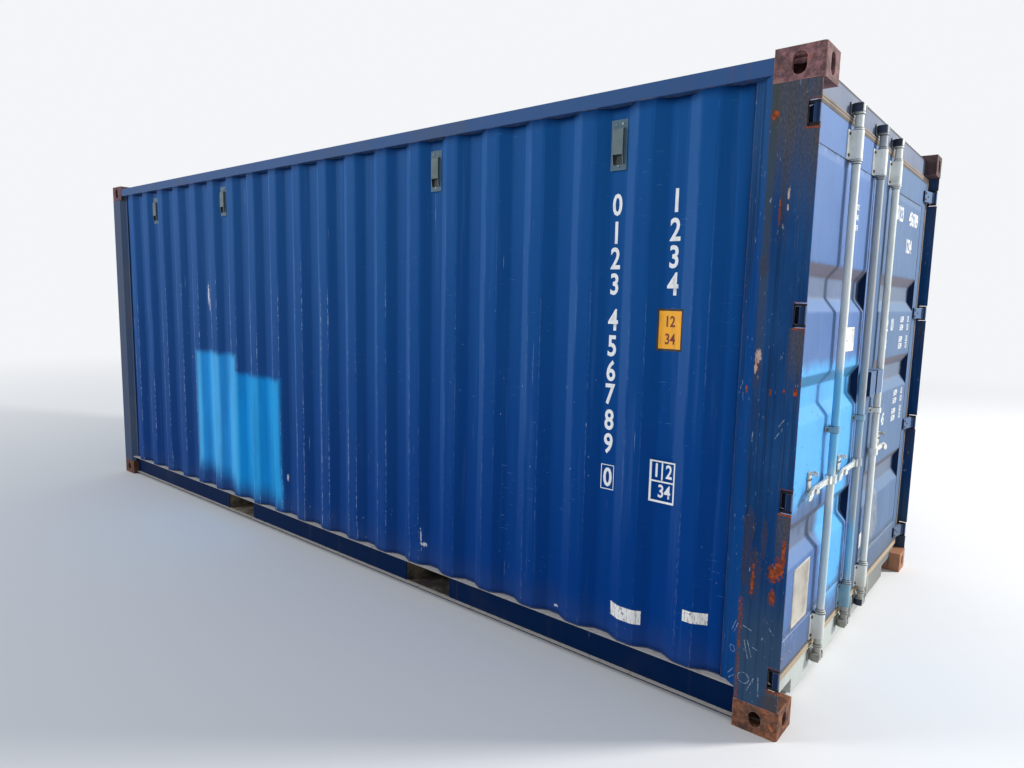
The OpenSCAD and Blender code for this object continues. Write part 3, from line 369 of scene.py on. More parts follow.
def framePaint(name, base, grime=0.5, rusty=0.5, wear=0.0035, ledge=0.0, inside=False, gloss=0.1,
               shaded=0.0):
    # base colour under grey-brown grime, run marks, worn edges and rust that bleeds down; ledges gather
    # dust
    paint = Paint(name)
    clouds = paint.noise(2.2, 2.2, 1.2, detail=6.0, rough=0.6)
    runs = paint.noise(34.0, 34.0, 1.1, detail=5.0, rough=0.6)
    paint.colour = paint.mix(base, finish["grime"], (clouds.rise(0.48, 0.78) * grime).limit())
    paint.lay(rgb(86, 80, 80), runs.rise(0.55, 0.8) * grime * 0.8)
    speck = paint.noise(90.0, detail=6.0, rough=0.75)
    rust = speck.rise(0.72, 0.75) * rusty
    bleed = runs.rise(0.6, 0.72) * paint.noise(3.0, 3.0, 1.4, detail=4.0).rise(0.56, 0.66) * rusty
    rust = rust.either(bleed)
    worn = paint.worn(wear, 22.0, 0.45, 0.62)
    rust = rust.either(worn * (0.25 + 0.6 * rusty))
    paint.rust(rust.limit())
    scratch = paint.noise(150.0, 150.0, 5.0, detail=3.0).rise(0.7, 0.73) * paint.noise(4.0).rise(0.48, 0.6)
    paint.lay(finish["scuff"], scratch * 0.45)
    # painted shade: greyer towards +y by the share shaded
    paint.lay(rgb(92, 92, 90), paint.y.rise(-0.2, 0.7) * shaded)
    upward = paint.facing()[2]
    if ledge:
        rim = paint.z.band(0.1595, 0.18, 0.0015)
        lying = 0.6 + paint.noise(30.0, detail=4.0).rise(0.2, 0.5) * 0.4
        dusty = upward.rise(0.5, 0.9).either(rim * 0.7) * lying
        paint.lay(finish["dust"], dusty * ledge)
    if inside:
        paint.lay(finish["inner"], upward.rise(-0.5, -0.8))
    height = paint.noise(420.0, detail=2.0) * 0.3 + speck * 0.5 - rust * 0.8
    normal = paint.bump(height, 0.0008, 0.0025)
    rough = 0.45 + clouds * 0.15 + rust * 0.35
    return paint.surface(rough.limit(), normal=normal, specular=gloss, tint=finish["gloss"])


# stains of the near rear post as (x, z, half width, half height), its streak and chalk lines as (x, z, x,
# z)
post = {
    "notches": (0.245, 0.955, 1.650, 2.355),
    "scuffs": [(2.900, 0.650, 0.030, 0.10), (2.873, 0.838, 0.022, 0.06), (2.860, 1.828, 0.020, 0.045),
               (2.870, 0.72, 0.018, 0.14), (2.995, 0.14, 0.05, 0.04), (2.860, 1.455, 0.012, 0.07),
               (2.93, 0.80, 0.012, 0.08)],
    "orange": [(2.866, 2.363, 0.012, 0.017), (2.974, 0.668, 0.022, 0.034), (2.990, 0.690, 0.014, 0.04),
               (2.973, 0.570, 0.012, 0.030), (3.006, 0.742, 0.008, 0.07), (2.818, 1.362, 0.006, 0.014),
               (2.916, 1.36, 0.004, 0.014), (2.964, 1.366, 0.004, 0.010), (3.007, 1.368, 0.007, 0.014),
               (2.861, 1.470, 0.006, 0.03), (2.905, 2.02, 0.004, 0.05), (2.896, 0.62, 0.006, 0.06)],
    "pale": [(2.862, 1.492, 0.010, 0.024), (2.855, 1.446, 0.005, 0.018), (2.934, 2.080, 0.004, 0.022),
             (2.934, 2.035, 0.003, 0.012)],
    "bleed": [(2.857, 0.535, 2.859, 0.42, 0.012), (2.859, 0.42, 2.861, 0.12, 0.007)],
    "chalk": [(2.822, 0.390, 2.842, 0.440), (2.834, 0.386, 2.852, 0.432), (2.872, 0.430, 2.906, 0.418),
              (2.880, 0.372, 2.898, 0.300), (2.892, 0.376, 2.912, 0.310), (2.914, 0.352, 2.936, 0.346),
              (2.814, 0.200, 2.840, 0.236), (2.818, 0.182, 2.846, 0.212), (2.902, 0.168, 2.926, 0.226),
              (2.944, 0.236, 2.948, 0.160), (2.972, 0.450, 2.988, 0.430), (2.955, 1.235, 2.975, 1.265),
              (2.945, 1.19, 2.958, 1.212)],
    "rings": [(2.830, 0.315, 0.013), (2.886, 0.215, 0.022)]}


def postPaint(name):
    # blue under brown-grey run marks that thicken towards the head and below the notches; rust, scuffs and
    # chalk
    paint = Paint(name)
    clouds = paint.noise(2.6, 2.6, 1.2, detail=6.0, rough=0.62)
    runs = paint.noise(52.0, 52.0, 0.9, detail=5.0, rough=0.6)
    thread = paint.noise(190.0, 190.0, 2.2, detail=4.0, rough=0.7)
    grain = paint.noise(150.0, 150.0, 70.0, detail=6.0, rough=0.75)
    ragged = paint.noise(34.0, detail=6.0, rough=0.7) * 1.6 - 0.8
    fray = paint.noise(130.0, 130.0, 80.0, detail=5.0, rough=0.75) * 5.0 - 2.5
    near = paint.y.rise(0.0, -0.2)
    plate = paint.x.rise(2.842, 2.856)
    paint.colour = paint.mix(rgb(10, 50, 98), rgb(28, 70, 118), clouds.rise(0.35, 0.65))
    edging = paint.mix(rgb(6, 62, 122), rgb(36, 78, 126), paint.z.rise(1.7, 2.4))
    paint.colour = paint.mix(edging, paint.colour, plate * 0.85)
    paint.lay(rgb(54, 74, 92), plate * (paint.z + (clouds - 0.5) * 0.4).rise(0.66, 0.3) * 0.7)
    paint.lay(rgb(16, 34, 56), runs.rise(0.46, 0.7) * 0.6)
    paint.lay(rgb(74, 88, 104), thread.rise(0.56, 0.68) * clouds.rise(0.38, 0.6) * 0.5)
    stain = (paint.z + (clouds - 0.5) * 0.3 + (runs - 0.5) * 0.5).rise(1.9, 2.42) * plate * 0.95
    column = (paint.x + (runs - 0.5) * 0.018).band(2.849, 2.877, 0.009) * paint.z.rise(1.1, 2.1)
    stain = stain.either(column * 0.85)
    gutter = (paint.x + (runs - 0.5) * 0.02).rise(2.962, 2.984)
    for z in post["notches"]:
        below = (paint.z + (thread - 0.5) * 0.1).rise(z - 0.34, z - 0.09)
        below = below * paint.z.rise(z - 0.044, z - 0.048)
        stain = stain.either(below * gutter * 0.85)
    stain = stain.either(thread.rise(0.6, 0.72) * plate * 0.5) * (runs.rise(0.25, 0.6) * 0.5 + 0.5)
    brown = paint.mix(rgb(62, 62, 56), rgb(92, 82, 78), grain.rise(0.38, 0.62))
    brown = paint.mix(brown, rgb(66, 70, 58), column)
    paint.lay(brown, stain * (0.4 + near * 0.5))
    mottle = blots(paint.x, paint.z, post["scuffs"], ragged * 0.9 + fray * 0.35) * near
    mottle = mottle * (runs.rise(0.34, 0.56) * 0.8 + 0.2)
    paint.lay(rgb(60, 54, 58), mottle * grain.rise(0.32, 0.56) * 0.8)
    paint.lay(rgb(104, 72, 56), mottle * grain.rise(0.55, 0.64) * 0.45)
    speck = paint.noise(90.0, detail=6.0, rough=0.75)
    orange = blots(paint.x, paint.z, post["orange"], ragged * 0.5 + fray * 0.7)
    for *line, width in post["bleed"]:
        drift = paint.x + ragged * 0.006 + fray * 0.003
        orange = orange.either(stroke(drift, paint.z, line, width) * grain.rise(0.42, 0.56) * 0.75)
    orange = orange * near
    lip = paint.x.rise(2.975, 2.979) * (near * 0.8 + 0.2)
    for z in post["notches"]:
        rim = (paint.z + (speck - 0.5) * 0.008).band(z - 0.053, z - 0.0445, 0.0015)
        top = (paint.z + (speck - 0.5) * 0.006).band(z + 0.045, z + 0.049, 0.0012) * 0.7
        orange = orange.either(rim.either(top) * lip * 0.85)
    worn = paint.worn(0.004, 22.0, 0.4, 0.6)
    flecks = grain.rise(0.66, 0.7) * paint.noise(6.0, 6.0, 3.0).rise(0.48, 0.6)
    orange = anyOf((orange, speck.rise(0.70, 0.74) * 0.8, worn * 0.7, flecks * 0.6 * plate)).limit()
    paint.rust(orange)
    pale = blots(paint.x, paint.z, post["pale"], ragged * 0.6 + fray * 0.8) * near
    paint.lay(rgb(196, 172, 160), pale * 0.8)
    scribble = anyOf(stroke(paint.x, paint.z, line, 0.0018) for line in post["chalk"])
    for cx, cz, radius in post["rings"]:
        away = ((paint.x - cx) * (paint.x - cx) + (paint.z - cz) * (paint.z - cz)) ** 0.5
        scribble = scribble.either(abs(away - radius).rise(0.0018, 0.0009))
    chalky = scribble * near * paint.noise(260.0, detail=3.0).rise(0.38, 0.6)
    paint.lay(rgb(176, 188, 202), chalky * 0.7)
    tick = paint.noise(140.0, 140.0, 30.0, detail=3.0).rise(0.67, 0.70) * paint.noise(5.0).rise(0.46, 0.6)
    paint.lay(rgb(160, 170, 180), tick * 0.6)
    height = paint.noise(420.0, detail=2.0) * 0.3 + speck * 0.5 - orange * 0.8
    normal = paint.bump(height, 0.0008, 0.0025)
    rough = (0.5 + clouds * 0.12 + orange * 0.35).limit()
    return paint.surface(rough, normal=normal, specular=0.1, tint=finish["gloss"])


def castingFinish(name):
    # a rusted casting: mauve-brown scale above, orange-brown below, dark pits, pale bare edges that also
    # carry a painted highlight, painted shade on the upper end faces and traces of blue paint
    paint = Paint(name)
    scale = paint.noise(26.0, detail=8.0, rough=0.7)
    fine = paint.noise(170.0, detail=5.0, rough=0.7)
    upper = paint.z.rise(1.0, 1.6)
    paint.colour = paint.mix(rgb(142, 92, 66), rgb(144, 104, 106), upper)
    paint.lay(paint.mix(rgb(86, 58, 48), rgb(94, 68, 72), upper), scale.rise(0.42, 0.6))
    paint.lay(rgb(58, 42, 42), fine.rise(0.56, 0.7) * 0.7)
    paint.lay(rgb(66, 54, 50), paint.noise(13.0, detail=6.0, rough=0.65).rise(0.47, 0.62) * 0.6)
    patch = paint.noise(34.0, detail=6.0).rise(0.6, 0.7)
    paint.lay(rgb(178, 98, 56), patch * (0.75 - upper * 0.4))
    far = paint.y.rise(0.9, 1.0)
    paint.lay(paint.mix(rgb(168, 122, 94), rgb(42, 40, 44), upper), far * 0.75)
    paint.lay(rgb(62, 42, 38), paint.x.rise(0.0, -1.0) * 0.55)
    paint.lay(finish["postBlue"], paint.noise(12.0, detail=6.0, rough=0.7).rise(0.6, 0.66) * 0.4)
    # painted shade on the end faces of the upper castings
    paint.lay(rgb(70, 52, 50), paint.facing()[0].rise(0.5, 0.9) * upper * 0.35)
    # pale rims: bare worn edges, partly a painted highlight
    edge = paint.worn(0.006, 40.0, 0.35, 0.55)
    paint.lay(rgb(196, 142, 118), edge * 0.75)
    normal = paint.bump(scale * 1.2 + fine * 0.7, 0.0016, 0.004)
    return paint.surface((0.62 + fine * 0.3).limit(), normal=normal, specular=0.2)


# the pressed sheet of a door: its outer face, its edges, and the form of its recesses
panel = {"face": 2.969, "near": 0.1502, "far": 1.0528, "low": 0.3302, "high": 2.2898,
         "recesses": (0.713, 1.310, 1.758),
         "half": 0.098, "slope": 0.058, "depth": 0.036, "bend": 0.008, "thickness": 0.002, "columns": 34}

# chalk lines at the foot of the left door as (y, z, y, z)
doorChalk = ((-1.02, 0.335, -0.99, 0.285), (-0.985, 0.345, -0.965, 0.295), (-0.99, 0.315, -0.955, 0.322),
             (-0.935, 0.340, -0.905, 0.300), (-0.925, 0.285, -0.885, 0.300), (-1.03, 0.245, -0.99, 0.232),
             (-0.975, 0.250, -0.955, 0.205), (-0.935, 0.245, -0.895, 0.222), (-0.875, 0.270, -0.862, 0.225))


def doorPaint(name, tone, marks="", middle=None):
    # faded grey-blue, chalky from the sun; faces that look sideways are the old deep blue darkened with
    # painted shade; the recesses hold dirt and painted shade; faces that look up take painted sky light
    paint = Paint(name)
    base, deep, pale = tone
    clouds = paint.noise(1.3, 1.3, 0.9, detail=6.0, rough=0.6)
    runs = paint.noise(30.0, 24.0, 0.9, detail=5.0, rough=0.6)
    ragged = paint.noise(14.0, detail=5.0, rough=0.65) * 0.9 - 0.45
    paint.colour = paint.mix(base, deep, clouds.rise(0.4, 0.75) * 0.6)
    paint.lay(pale, runs.rise(0.52, 0.8) * 0.3)
    nx, ny, nz = paint.facing()
    # the floors of the recesses, partly dirt and partly painted shade; painted shade on faces that look
    # down, painted sky light on faces that look up
    recessDirtAndShade = paint.x.rise(2.945, 2.936) * nx.rise(0.7, 0.95)
    paint.lay(rgb(112, 118, 128), recessDirtAndShade * 0.6)
    paint.lay(rgb(98, 90, 98), nz.rise(-0.25, -0.5) * 0.85)
    paint.lay(pale, nz.rise(0.25, 0.5) * 0.45)
    if marks == "sprayed":
        wide = (paint.z + ragged * 0.10).band(0.875, 1.44, 0.04) * paint.y.rise(-1.07, -1.05)
        wide = wide * paint.y.rise(-0.12, -0.2)
        patch = wide.either(blot(paint.y, paint.z, (-0.37, 0.60, 0.21, 0.36), ragged * 0.8))
        smears = [(-0.84, 0.80, 0.22, 0.09), (-0.62, 0.72, 0.10, 0.07)]
        smudge = blots(paint.y, paint.z, smears, ragged * 1.2)
        thin = paint.noise(4.0, 4.0, 2.0, detail=5.0).rise(0.25, 0.5) * 0.2 + 0.8
        # the fresh spray, teal where faces look down: painted shade
        sprayAndShade = paint.mix(rgb(88, 166, 224), rgb(62, 126, 166), nz.rise(-0.25, -0.5))
        paint.lay(sprayAndShade, patch * thin * paint.x.rise(2.90, 2.92))
        paint.lay(rgb(74, 88, 110), smudge * runs.rise(0.3, 0.6) * 0.75)
        nicks = paint.noise(34.0, 44.0, 40.0, detail=4.0, rough=0.65).rise(0.665, 0.69)
        paint.lay(rgb(34, 62, 96), nicks * patch * 0.75)
        chalk = anyOf(stroke(paint.y, paint.z, line, 0.0022) for line in doorChalk)
        paint.lay(rgb(190, 190, 210), chalk * paint.noise(240.0).rise(0.38, 0.6) * 0.7)
    if marks == "worn":
        smudge = blots(paint.y, paint.z, [(0.50, 0.46, 0.11, 0.11), (0.46, 0.60, 0.09, 0.08)], ragged * 1.2)
        gritty = paint.noise(70.0, 70.0, 30.0, detail=5.0, rough=0.7).rise(0.35, 0.65)
        paint.lay(rgb(156, 154, 148), smudge * gritty * 0.75)
    foot = (paint.z + (paint.noise(7.0) - 0.5) * 0.25).rise(0.42, 0.18)
    paint.lay(finish["grime"], foot * 0.4)
    # dark seams round the panel and a pale one above the bottom member
    front = nx.rise(0.8, 0.95)
    inside = abs(paint.y).band(0.150, 1.053, 0.002)
    seam = paint.z.band(2.2875, 2.2915, 0.0008) * inside
    side = abs(abs(paint.y) - 1.0535).either(0.0).rise(0.0022, 0.001) * 0.6
    side = side.either(abs(abs(paint.y) - 0.1495).rise(0.0022, 0.001) * 0.6)
    side = side * paint.z.band(0.33, 2.29, 0.002)
    paint.lay(finish["black"], seam.either(side) * front * 0.85)
    paint.lay(finish["white"], paint.z.band(0.3165, 0.3195, 0.001) * inside * front * 0.4)
    # faces that look sideways: the old deep blue, darkened with painted shade
    paint.lay(finish["oldBlueAndShade"], abs(ny).rise(0.5, 0.8) * 0.95)
    scratch = paint.noise(20.0, 140.0, 5.0, detail=3.0).rise(0.7, 0.725) * paint.noise(5.0).rise(0.48, 0.6)
    paint.lay(finish["white"], scratch * 0.5)
    chips = paint.noise(55.0, detail=6.0, rough=0.7).rise(0.73, 0.75)
    edge = paint.worn(0.003, 26.0, 0.45, 0.6)
    paint.lay(pale, edge * 0.6)
    paint.rust(chips.either(edge * paint.noise(8.0).rise(0.58, 0.66)))
    inner = nx.rise(-0.3, -0.6)
    sheet = panel["face"] - 0.0002
    if middle is not None:
        # on the frame, faces that look at the middle of the leaf too, where they lie behind the pressed
        # sheet
        inwards = (-(ny * (paint.y - middle))).either(-(nz * (paint.z - 1.3)))
        inner = inner.either(inwards.rise(0.02, 0.08))
        for z in panel["recesses"]:
            sunken = ((panel["half"] + 0.004 - abs(paint.z - z)) / panel["slope"]).limit()
            sheet = sheet - sunken * (panel["depth"] + panel["thickness"])
    paint.lay(finish["inner"], inner * (paint.x - sheet).rise(0.0003, -0.0003))
    height = paint.noise(480.0, detail=2.0) * 0.3 + paint.noise(6.0, detail=2.0) * 5.0 - seam * 4.0
    normal = paint.bump(height, 0.0006, 0.002)
    rough = (0.5 + clouds * 0.15 + chips * 0.3).limit()
    return paint.surface(rough, normal=normal, specular=0.2, tint=finish["gloss"])


def headerPaint(name):
    # pale grey-blue, chalky, with run marks below the top edge, a dark line there that is a sealed joint
    # and the painted shadow of the roof's lip, and rust at the ends
    paint = Paint(name)
    clouds = paint.noise(1.6, 1.6, 3.0, detail=6.0, rough=0.6)
    runs = paint.noise(30.0, 30.0, 2.0, detail=5.0, rough=0.6)
    paint.colour = paint.mix(rgb(104, 114, 134), rgb(88, 100, 126), clouds.rise(0.4, 0.7))
    paint.lay(rgb(126, 134, 148), runs.rise(0.5, 0.8) * 0.4)
    paint.lay(finish["grime"], runs.rise(0.6, 0.8) * 0.35)
    # the dark line under the roof: a joint and the painted shadow of the roof's lip
    jointAndShadow = (paint.z + (runs - 0.5) * 0.006).rise(2.553, 2.558)
    paint.lay(finish["black"], jointAndShadow * 0.9)
    edge = paint.worn(0.003, 26.0, 0.5, 0.64)
    chips = paint.noise(60.0, detail=6.0, rough=0.7).rise(0.72, 0.745)
    paint.rust(chips.either(edge * 0.5))
    normal = paint.bump(paint.noise(480.0, detail=2.0) * 0.3 + paint.noise(6.0) * 4.0, 0.0006, 0.002)
    return paint.surface((0.52 + clouds * 0.15).limit(), normal=normal, specular=0.2)


# heights where a collar, ring or bracket ends and a dark line of painted shade lies in the crease
ringShadeLines = (0.1505, 0.1615, 0.1915, 0.3095, 0.3185, 0.3275, 1.136, 1.164, 2.2745, 2.2835, 2.2925, 2.4095,
             2.4195,
             2.4725, 2.4835)


def barPaint(name, splashes=(), dirt=0.0, shaded=0.0):
    # chalky cream paint on steel, with grey dirt, run marks, rust specks and blue overspray (low, high,
    # strength)
    paint = Paint(name)
    clouds = paint.noise(9.0, 9.0, 2.5, detail=6.0, rough=0.65)
    fine = paint.noise(120.0, detail=5.0, rough=0.7)
    grey = paint.noise(70.0, 70.0, 1.2, detail=4.0)
    paint.colour = paint.mix(finish["cream"], finish["creamDirt"], clouds.rise(0.42, 0.78) * 0.7)
    paint.lay(rgb(116, 124, 130), grey.rise(0.48, 0.68) * 0.25)
    # painted shade, as much as shaded
    paint.lay(rgb(96, 108, 124), shaded)
    paint.lay(finish["chalk"], paint.noise(60.0, 60.0, 3.0, detail=3.0).rise(0.58, 0.75) * 0.5)
    lowDirt = (paint.z + (clouds - 0.5) * 0.2).rise(0.34, 0.12)
    paint.lay(rgb(146, 142, 130), lowDirt * 0.7)
    paint.lay(rgb(74, 74, 70), fine.rise(0.46, 0.62) * dirt)
    for low, high, strength in splashes:
        wobble = (paint.noise(16.0, detail=4.0) - 0.5) * 0.12
        sprayed = (paint.z + wobble).band(low, high, 0.05) * strength
        paint.lay(rgb(74, 178, 220), sprayed)
    # painted shade in the creases where rings and brackets end
    creaseShade = anyOf(abs(paint.z - z).rise(0.0026, 0.0012) for z in ringShadeLines)
    paint.lay(rgb(52, 50, 46), creaseShade * (0.6 + fine * 0.5).limit())
    edge = paint.worn(0.003, 30.0, 0.42, 0.58)
    rust = fine.rise(0.71, 0.74) * 0.9
    paint.rust(rust.either(edge * paint.noise(9.0).rise(0.52, 0.62)))
    normal = paint.bump(fine * 0.5 + paint.noise(400.0, detail=2.0) * 0.3, 0.0007, 0.0012)
    return paint.surface((0.5 + clouds * 0.18 + rust * 0.3).limit(), normal=normal, specular=0.35)


def bracketPaint(name):
    # cream like the bars; the middle straps and the lower inner bracket of the left door caught the blue
    # spray
    paint = Paint(name)
    clouds = paint.noise(14.0, detail=6.0, rough=0.65)
    fine = paint.noise(120.0, detail=5.0, rough=0.7)
    paint.colour = paint.mix(finish["cream"], finish["creamDirt"], clouds.rise(0.48, 0.78) * 0.5)
    paint.lay(rgb(160, 156, 144), (paint.z + (clouds - 0.5) * 0.2).rise(0.34, 0.14) * 0.5)
    strap = paint.z.band(1.12, 1.18, 0.002) * paint.y.rise(-0.05, -0.1)
    inner = paint.z.rise(0.36, 0.34) * paint.y.band(-0.235, -0.124, 0.002)
    paint.lay(rgb(40, 128, 160), strap.either(inner) * (0.55 + clouds * 0.4).limit())
    edge = paint.worn(0.003, 30.0, 0.4, 0.56)
    paint.lay(finish["chalk"], edge * 0.5)
    rust = fine.rise(0.71, 0.74).either(edge * paint.noise(9.0).rise(0.54, 0.64))
    paint.rust(rust)
    normal = paint.bump(fine * 0.5 + paint.noise(400.0, detail=2.0) * 0.3, 0.0007, 0.0015)
    return paint.surface((0.5 + clouds * 0.18 + rust * 0.3).limit(), normal=normal, specular=0.35)


def keeperPaint(name):
    # old paint, dark, with painted light on the faces that look out or up so that the sides read as shaded;
    # the lower pieces are caked with dirt
    paint = Paint(name)
    clouds = paint.noise(20.0, detail=6.0, rough=0.65)
    fine = paint.noise(150.0, detail=5.0, rough=0.7)
    nx, ny, nz = paint.facing()
    paint.colour = paint.mix(rgb(46, 58, 80), rgb(22, 30, 44), clouds.rise(0.4, 0.65))
    # painted light on faces that look out or up
    paint.lay(rgb(140, 148, 152), nx.either(nz).rise(0.35, 0.8) * (0.55 + clouds * 0.4))
    caked = paint.z.rise(0.5, 0.3) * paint.y.rise(0.1, 0.0)
    paint.lay(rgb(150, 148, 136), caked * clouds.rise(0.3, 0.55) * 0.85)
    paint.lay(rgb(190, 194, 190), paint.worn(0.003, 50.0, 0.35, 0.55) * 0.7)
    rust = fine.rise(0.62, 0.7) * 0.6
    paint.rust(rust)
    normal = paint.bump(fine + clouds, 0.0009, 0.0015)
    return paint.surface((0.5 + rust * 0.4).limit(), normal=normal, specular=0.3)


def rubberFinish(name):
    # sun-bleached rubber: beige dust over grey, with fine cracks across and grime near the sill
    paint = Paint(name)
    clouds = paint.noise(7.0, detail=6.0, rough=0.65)
    paint.colour = paint.mix(finish["gasket"], finish["gasketDark"], clouds.rise(0.45, 0.78) * 0.7)
    paint.lay(rgb(190, 172, 144), paint.z.rise(0.3, 0.15) * 0.7)
    crack = paint.noise(90.0, detail=6.0, rough=0.7)
    paint.lay(rgb(70, 66, 60), crack.rise(0.62, 0.7) * 0.6)
    # the grooves and the foot of the lip darker: painted shade
    paint.lay(rgb(60, 58, 56), paint.x.rise(2.9718, 2.9705) * 0.6)
    normal = paint.bump(crack * 0.4 + clouds, 0.0006)
    return paint.surface((0.72 + clouds * 0.15).limit(), normal=normal, specular=0.25)


def plyFinish(name):
    # boards: grain runs along X, a seam every 0.28 m across, scuffed and oily
    paint = Paint(name)
    grain = paint.noise(3.0, 70.0, 70.0, detail=7.0, rough=0.65)
    board = paint.node("ShaderNodeMath", {"operation": "PINGPONG"}, {0: paint.y, 1: 0.14})
    seam = board.rise(0.003, 0.0012)
    tone = paint.node("ShaderNodeTexWhiteNoise", {"noise_dimensions": "1D"},
                      {"W": (paint.y / 0.28).maths("ROUND")})
    paint.colour = paint.mix(finish["ply"], finish["plyDark"], grain.rise(0.35, 0.7))
    shade = {0: paint.colour, 3: tone * 0.35 + 0.8}
    paint.colour = paint.node("ShaderNodeVectorMath", {"operation": "SCALE"}, shade)
    paint.lay(rgb(30, 24, 20), seam)
    scuff = paint.noise(1.2, 40.0, 40.0, detail=5.0).rise(0.62, 0.7)
    paint.lay(rgb(168, 140, 108), scuff * 0.35)
    stain = paint.noise(2.0, detail=5.0).rise(0.6, 0.75)
    paint.lay(rgb(48, 40, 36), stain * 0.6)
    normal = paint.bump(grain * 0.6 - seam * 2.0, 0.0009, 0.002)
    return paint.surface((0.5 + grain * 0.25).limit(), normal=normal)


def underFinish(name):
    # black undercoat under dried mud, thicker where water throws it
    paint = Paint(name)
    mud = paint.noise(5.0, detail=7.0, rough=0.65)
    fine = paint.noise(130.0, detail=5.0, rough=0.7)
    paint.colour = paint.mix(finish["under"], finish["mud"], mud.rise(0.42, 0.62) * 0.85)
    paint.rust(fine.rise(0.62, 0.72) * 0.7)
    normal = paint.bump(mud * 2.0 + fine, 0.0012, 0.002)
    return paint.surface((0.72 + mud * 0.2).limit(), normal=normal)


def ventFinish(name):
    # grey plastic: the hood has fine upright ribs and painted shade on its sides, the flange took some wall
    # paint, the mouth is a mesh over painted shade
    paint = Paint(name)
    clouds = paint.noise(22.0, detail=5.0)
    across = (((paint.x - 2.477) / 0.278 + 0.5).maths("FRACT") - 0.5) * 0.278
    out = abs(paint.y)
    paint.colour = paint.mix(rgb(104, 120, 122), rgb(70, 84, 88), clouds.rise(0.45, 0.75) * 0.5)
    nx, ny, nz = paint.facing()
    # the sides that look along the wall darker: painted shade
    paint.lay(rgb(60, 72, 78), abs(nx).rise(0.5, 0.8) * 0.7)
    ribs = (across * 190.0).maths("FRACT").band(0.35, 0.65, 0.12) * out.rise(1.197, 1.198)
    paint.lay(rgb(64, 74, 76), ribs * 0.45)
    paint.lay(rgb(58, 92, 112), out.rise(1.1855, 1.1848) * 0.8)
    paint.lay(rgb(176, 190, 190), paint.edges(0.002) * 0.55)
    # the mouth: a dark mesh with painted shade behind it
    shadedMouth = abs(across).rise(0.0232, 0.0218) * paint.z.band(2.264, 2.3055, 0.001) * out.rise(1.1985, 1.1975)
    mesh = (paint.z * 220.0).maths("FRACT").band(0.3, 0.7, 0.1)
    paint.lay(paint.mix(rgb(22, 26, 28), rgb(48, 54, 56), mesh), shadedMouth * 0.95)
    paint.lay(finish["grime"], paint.noise(60.0, 60.0, 8.0, detail=4.0).rise(0.6, 0.78) * 0.4)
    normal = paint.bump(paint.noise(300.0, detail=3.0) * 0.4 - ribs, 0.0008, 0.0012)
    return paint.surface((0.5 + clouds * 0.2).limit(), normal=normal, specular=0.3)


def boltFinish(name, base, rusty):
    # small heads: base colour, darker in patches, with some rust
    paint = Paint(name)
    tone = paint.noise(90.0, detail=4.0)
    paint.colour = paint.mix(base, rgb(48, 42, 40), tone.rise(0.4, 0.6) * 0.7)
    paint.rust(tone.rise(0.5, 0.62) * rusty)
    normal = paint.bump(paint.noise(400.0), 0.0004, 0.001)
    return paint.surface(0.6, normal=normal, metallic=0.2)


def beadFinish(name, base):
    # weld metal under paint, with dirt along its foot
    paint = Paint(name)
    tone = paint.noise(50.0, detail=5.0, rough=0.7)
    paint.colour = paint.mix(base, finish["grime"], tone.rise(0.42, 0.65) * 0.6)
    paint.rust(tone.rise(0.66, 0.72) * 0.8)
    return paint.surface(0.6, normal=paint.bump(tone, 0.0005), specular=0.35)


def markFinish(name, base, wear=0.5):
    # paint or film that has chipped and faded in patches: colour shows where the noise is under the wear
    # line
    paint = Paint(name)
    dirt = paint.noise(60.0, 60.0, 12.0, detail=5.0, rough=0.65)
    worn = paint.noise(190.0, 190.0, 60.0, detail=6.0, rough=0.75)
    patch = paint.noise(8.0, detail=3.0)
    paint.colour = paint.mix(base, finish["grime"], dirt.rise(0.5, 0.8) * 0.45)
    kept = (worn + (patch - 0.5) * 0.35).rise(0.80 - wear * 0.25, 0.76 - wear * 0.25)
    return paint.surface(0.55, alpha=kept)


def paperFinish(name):
    # torn white paper, grey with dirt, half of it gone
    paint = Paint(name)
    torn = paint.noise(50.0, 50.0, 26.0, detail=6.0, rough=0.7)
    smear = paint.noise(90.0, 90.0, 14.0, detail=5.0, rough=0.7)
    paint.colour = paint.mix(rgb(232, 230, 226), rgb(120, 116, 116), smear.rise(0.5, 0.62) * 0.7)
    return paint.surface(0.75, alpha=torn.rise(0.62, 0.58))


def plateFinish(name):
    # beige metal plate with dark specks and pale worn edges
    paint = Paint(name)
    speck = paint.noise(120.0, 150.0, 60.0, detail=6.0, rough=0.75)
    clouds = paint.noise(14.0, detail=5.0)
    paint.colour = paint.mix(rgb(178, 172, 160), rgb(154, 148, 138), clouds.rise(0.4, 0.7))
    paint.lay(rgb(110, 92, 78), speck.rise(0.56, 0.66) * 0.7)
    paint.lay(rgb(226, 222, 214), paint.edges(0.003) * 0.8)
    return paint.surface(0.55, metallic=0.1, normal=paint.bump(speck, 0.0004, 0.0008))


